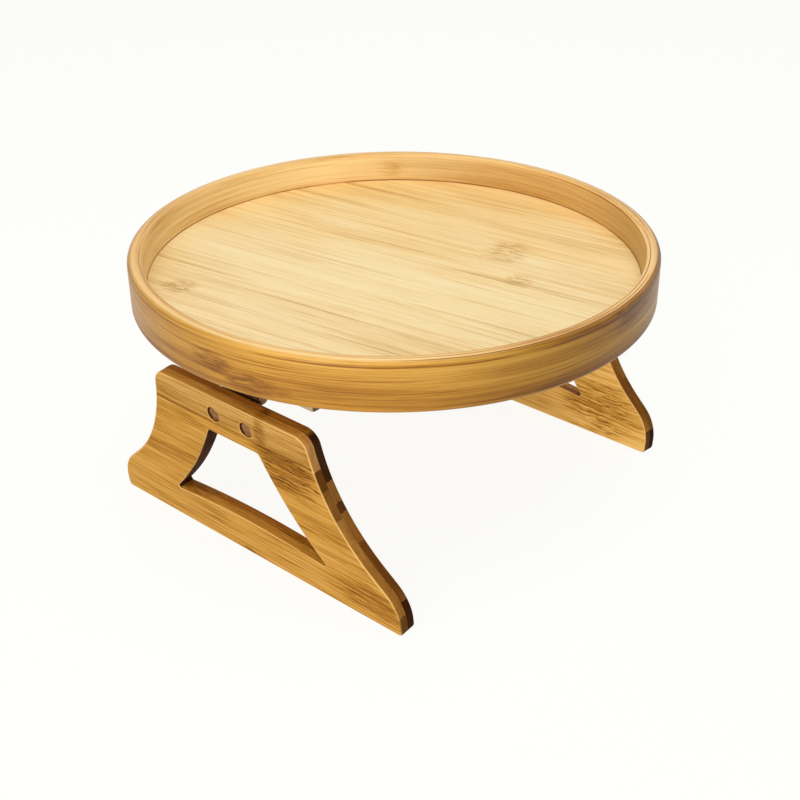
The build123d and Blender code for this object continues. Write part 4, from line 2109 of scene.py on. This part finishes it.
FLOOR_FINISH = BambooFinish(
    name="floor_bamboo",
    tones=((0.0, (178, 132, 72)), (0.3, (228, 190, 122)), (0.5, (246, 218, 158)), (0.8, (252, 234, 186))),
    streaks=(StreakStyle(130.0, 0.9, 0.55, 0.62, 0.24), StreakStyle(80.0, 0.6, 0.54, 0.62, 0.18)),
    knots=(
        Knot(45.0, 52.0, 17.0, 22.0, 0.9),
        Knot(71.0, 20.0, 12.0, 13.0, 0.6),
        Knot(-87.0, -86.0, 14.0, 12.0, 0.9),
    ),
    strip_width=21.0,
    strip_shift=0.3,
    strip_weight=0.08,
    joint_weight=0.06,
    vein=(80.0, 3.2),
    vein_weight=0.45,
    broad_weight=0.5,
    wave=(12.0, 9.0),
    swing=12.0,
    stroke=(7.0, 0.9),
    knot_weight=0.3,
    knot_shade=0.08,
    seed=3.0,
    roughness=0.42,
)
BOARD_FINISH = BambooFinish(
    name="board_bamboo",
    tones=((0.1, (150, 104, 48)), (0.35, (196, 150, 86)), (0.5, (216, 174, 110)), (0.75, (232, 196, 134))),
    streaks=(StreakStyle(70.0, 1.4, 0.52, 0.64, 0.25),),
    knots=(Knot(60.0, 20.0, 10.0, 12.0), Knot(-70.0, -15.0, 10.0, 12.0)),
    strip_width=19.6,
    strip_weight=0.16,
    seed=11.0,
    coat=0.0,
    roughness=0.6,
)
RIM_FINISH = BambooFinish(
    name="rim_bamboo",
    tones=((0.0, (160, 100, 36)), (0.3, (214, 160, 84)), (0.5, (236, 190, 118)), (0.8, (248, 214, 148))),
    streaks=(StreakStyle(110.0, 0.9, 0.52, 0.63, 0.22), StreakStyle(60.0, 0.7, 0.52, 0.64, 0.22)),
    knots=(
        Knot(-86.0, 139.0, 20.0, 8.0, 0.7, 150.0, 4.0),
        Knot(-76.0, 133.0, 22.0, 9.0, 0.8, 150.0, 4.0),
        Knot(132.0, 146.0, 13.0, 10.0, 0.8, 141.0, 3.0),
        Knot(8.0, 148.0, 40.0, 9.0, 0.5, 150.0, 4.0),
    ),
    strip_width=28.5,
    strip_weight=0.05,
    joint_weight=0.0,
    broad=(170.0, 9.0),
    vein=(110.0, 1.5),
    vein_weight=0.6,
    stroke=(9.0, 0.8),
    spot_weight=0.08,
    seed=7.0,
    roughness=0.38,
    specular=0.2,
)
HOOP_COLOURS = HoopColours(
    outer_tones=((0.0, (118, 72, 16)), (0.3, (152, 98, 26)), (0.5, (182, 128, 42)), (0.8, (212, 160, 72))),
    outer_contrast=1.3,
    inner_contrast=0.6,
    # Painted light and shade: tints by angle round the outer and inner sides.
    outer_tints=((-120.0, 50.0, (224, 222, 208)), (10.0, 60.0, (214, 212, 176))),
    inner_tints=(
        (90.0, 60.0, (228, 226, 218)),
        (10.0, 70.0, (206, 200, 170)),
        (180.0, 80.0, (270, 290, 322)),
    ),
)
NEAR_LEG_FINISH = BambooFinish(
    name="near_leg_bamboo",
    tones=((0.0, (92, 50, 4)), (0.3, (146, 93, 16)), (0.5, (190, 138, 54)), (0.8, (220, 176, 100))),
    streaks=(StreakStyle(45.0, 0.7, 0.52, 0.62, 0.12), StreakStyle(22.0, 0.45, 0.52, 0.64, 0.12)),
    knots=(
        Knot(40.0, 24.0, 30.0, 25.0, 0.85, strip_start=17.5),
        Knot(88.0, 91.0, 30.0, 16.0, 0.5),
        Knot(24.0, 8.0, 6.0, 14.0, 0.6),
        Knot(-4.0, 103.0, 9.0, 3.0, 0.7),
    ),
    strip_width=17.5,
    strip_weight=0.08,
    joint_weight=0.05,
    vein=(45.0, 0.9),
    vein_weight=0.62,
    broad_weight=0.45,
    wave=(12.0, 8.0),
    swing=5.0,
    stroke=(12.0, 0.7),
    ripple_pitch=2.4,
    ripple_weight=0.33,
    knot_weight=0.18,
    knot_shade=0.08,
    seed=19.0,
    roughness=0.42,
    specular=0.04,
    coat=0.0,
)
LEG_FINISHES = {
    Side.NEAR: NEAR_LEG_FINISH,
    Side.FAR: replace(
        NEAR_LEG_FINISH,
        name="far_leg_bamboo",
        # Painted light: these tones are lighter than the near leg's to make up for the tray's shade on the
        # far leg; its knots and seed are its own.
        tones=((0.0, (132, 82, 24)), (0.3, (188, 136, 54)), (0.5, (232, 182, 96)), (0.8, (250, 222, 156))),
        knots=(Knot(74.0, 88.0, 36.0, 26.0, 0.75, 0.0, 6.0), Knot(-40.0, 60.0, 24.0, 15.0, 0.8)),
        stroke=(12.0, 1.0),
        ripple_weight=0.36,
        knot_weight=0.14,
        knot_shade=0.04,
        seed=31.0,
    ),
}
NEAR_PLY_COLOURS = PlyColours(
    front_ends=(
        (0.0, (194, 144, 84)),
        (0.18, (108, 66, 20)),
        (0.29, (140, 94, 38)),
        (0.44, (172, 124, 60)),
        (0.62, (162, 116, 52)),
        (0.8, (160, 110, 42)),
        (0.88, (112, 74, 28)),
    ),
    back_ends=(
        (0.0, (66, 38, 14)),
        (0.26, (150, 104, 50)),
        (0.37, (96, 58, 24)),
        (0.42, (164, 114, 52)),
        (0.56, (134, 90, 38)),
        (0.82, (66, 28, 10)),
    ),
    soaked=(214, 206, 190),
    length=105.0,
    thickness=10.5,
    seam_depth=5.25,
    top_strip_tint=(252, 259, 305),
    top_strip_drop=17.5,
    top_line_weight=0.22,
    # Painted highlight on the edges, and painted shade on the window walls and on faces that look up.
    edge_line=(255, 206, 128),
    edge_share=0.55,
    window_walls=(120, 100, 92),
    upward=(250, 238, 222),
    upward_behind=(214, 196, 180),
)
PLY_COLOURS = {
    Side.NEAR: NEAR_PLY_COLOURS,
    Side.FAR: replace(
        NEAR_PLY_COLOURS,
        front_ends=((0.0, (160, 112, 48)), (0.6, (132, 88, 34)), (0.86, (54, 26, 8))),
        back_ends=((0.0, (188, 138, 66)), (0.5, (166, 116, 50)), (0.86, (104, 66, 26))),
    ),
}
PLUG_FINISH = BambooFinish(
    name="plug_bamboo",
    tones=((0.2, (86, 52, 24)), (0.5, (138, 94, 52)), (0.8, (174, 128, 80))),
    roughness=0.6,
    coat=0.0,
)
STEELS = {
    # The hinge's dark bronze is partly its plating and partly painted shade, darkened to match the shaded gap
    # between the leg and the rim.
    Slot.HINGE: SteelFinish("hinge_steel", (104, 74, 48), (70, 48, 30), 0.4, 0),
    Slot.PIN: SteelFinish("pin_steel", (112, 84, 58), (80, 58, 38), 0.32, 0),
    Slot.WASHER: SteelFinish("washer_steel", (150, 140, 126), (110, 100, 88), 0.35, 1),
    Slot.SCREW: SteelFinish("screw_steel", (190, 168, 122), (150, 128, 86), 0.3, 2),
}
FLOOR_GRAIN_ANGLE = 8.0
BOARD_GRAIN_ANGLE = 90.0
FLOOR_COLOURS = FlatColours((255, 243, 222), (196, 152, 92), 0.5, (196, 152, 92), 0.5)
# The board's dark side colour is painted shade on its faces that look along X.
BOARD_COLOURS = FlatColours((250, 236, 214), (188, 176, 144), 0.85, (48, 28, 10), 0.9)


def hoop_finish() -> bpy.types.Material:
    """Finish of the rim, whose lines follow the sizes in the frame.

    Returns:
        The material.
    """
    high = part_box("tray_rim")[1]
    sizes = (max(high.x, high.y), high.z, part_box("tray_floor")[1].z, Tray.outer_round)
    return HoopWood(RIM_FINISH, *(size / MM for size in sizes)).write(HOOP_COLOURS)


def main() -> None:
    """Load the frame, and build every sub-assembly in order."""
    logging.basicConfig(level=logging.INFO, format="%(name)s: %(message)s")
    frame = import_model()
    View().build()
    Studio().build()
    finishes = {slot: steel.material() for slot, steel in STEELS.items()}
    finishes[Slot.PLUG] = PlugWood(PLUG_FINISH).write()
    finishes[Slot.FLOOR] = FlatWood(FLOOR_FINISH, FLOOR_GRAIN_ANGLE).write(FLOOR_COLOURS)
    finishes[Slot.BOARD] = FlatWood(BOARD_FINISH, BOARD_GRAIN_ANGLE).write(BOARD_COLOURS)
    shop = Workshop(frame, finishes, RowsTree())
    Tray(shop, hoop_finish()).build()
    for side in Side:
        Leg(shop, side, LegWood(LEG_FINISHES[side]).write(PLY_COLOURS[side])).build()
    LOG.info("%d pieces made", shop.made)


if __name__ == "__main__":
    main()
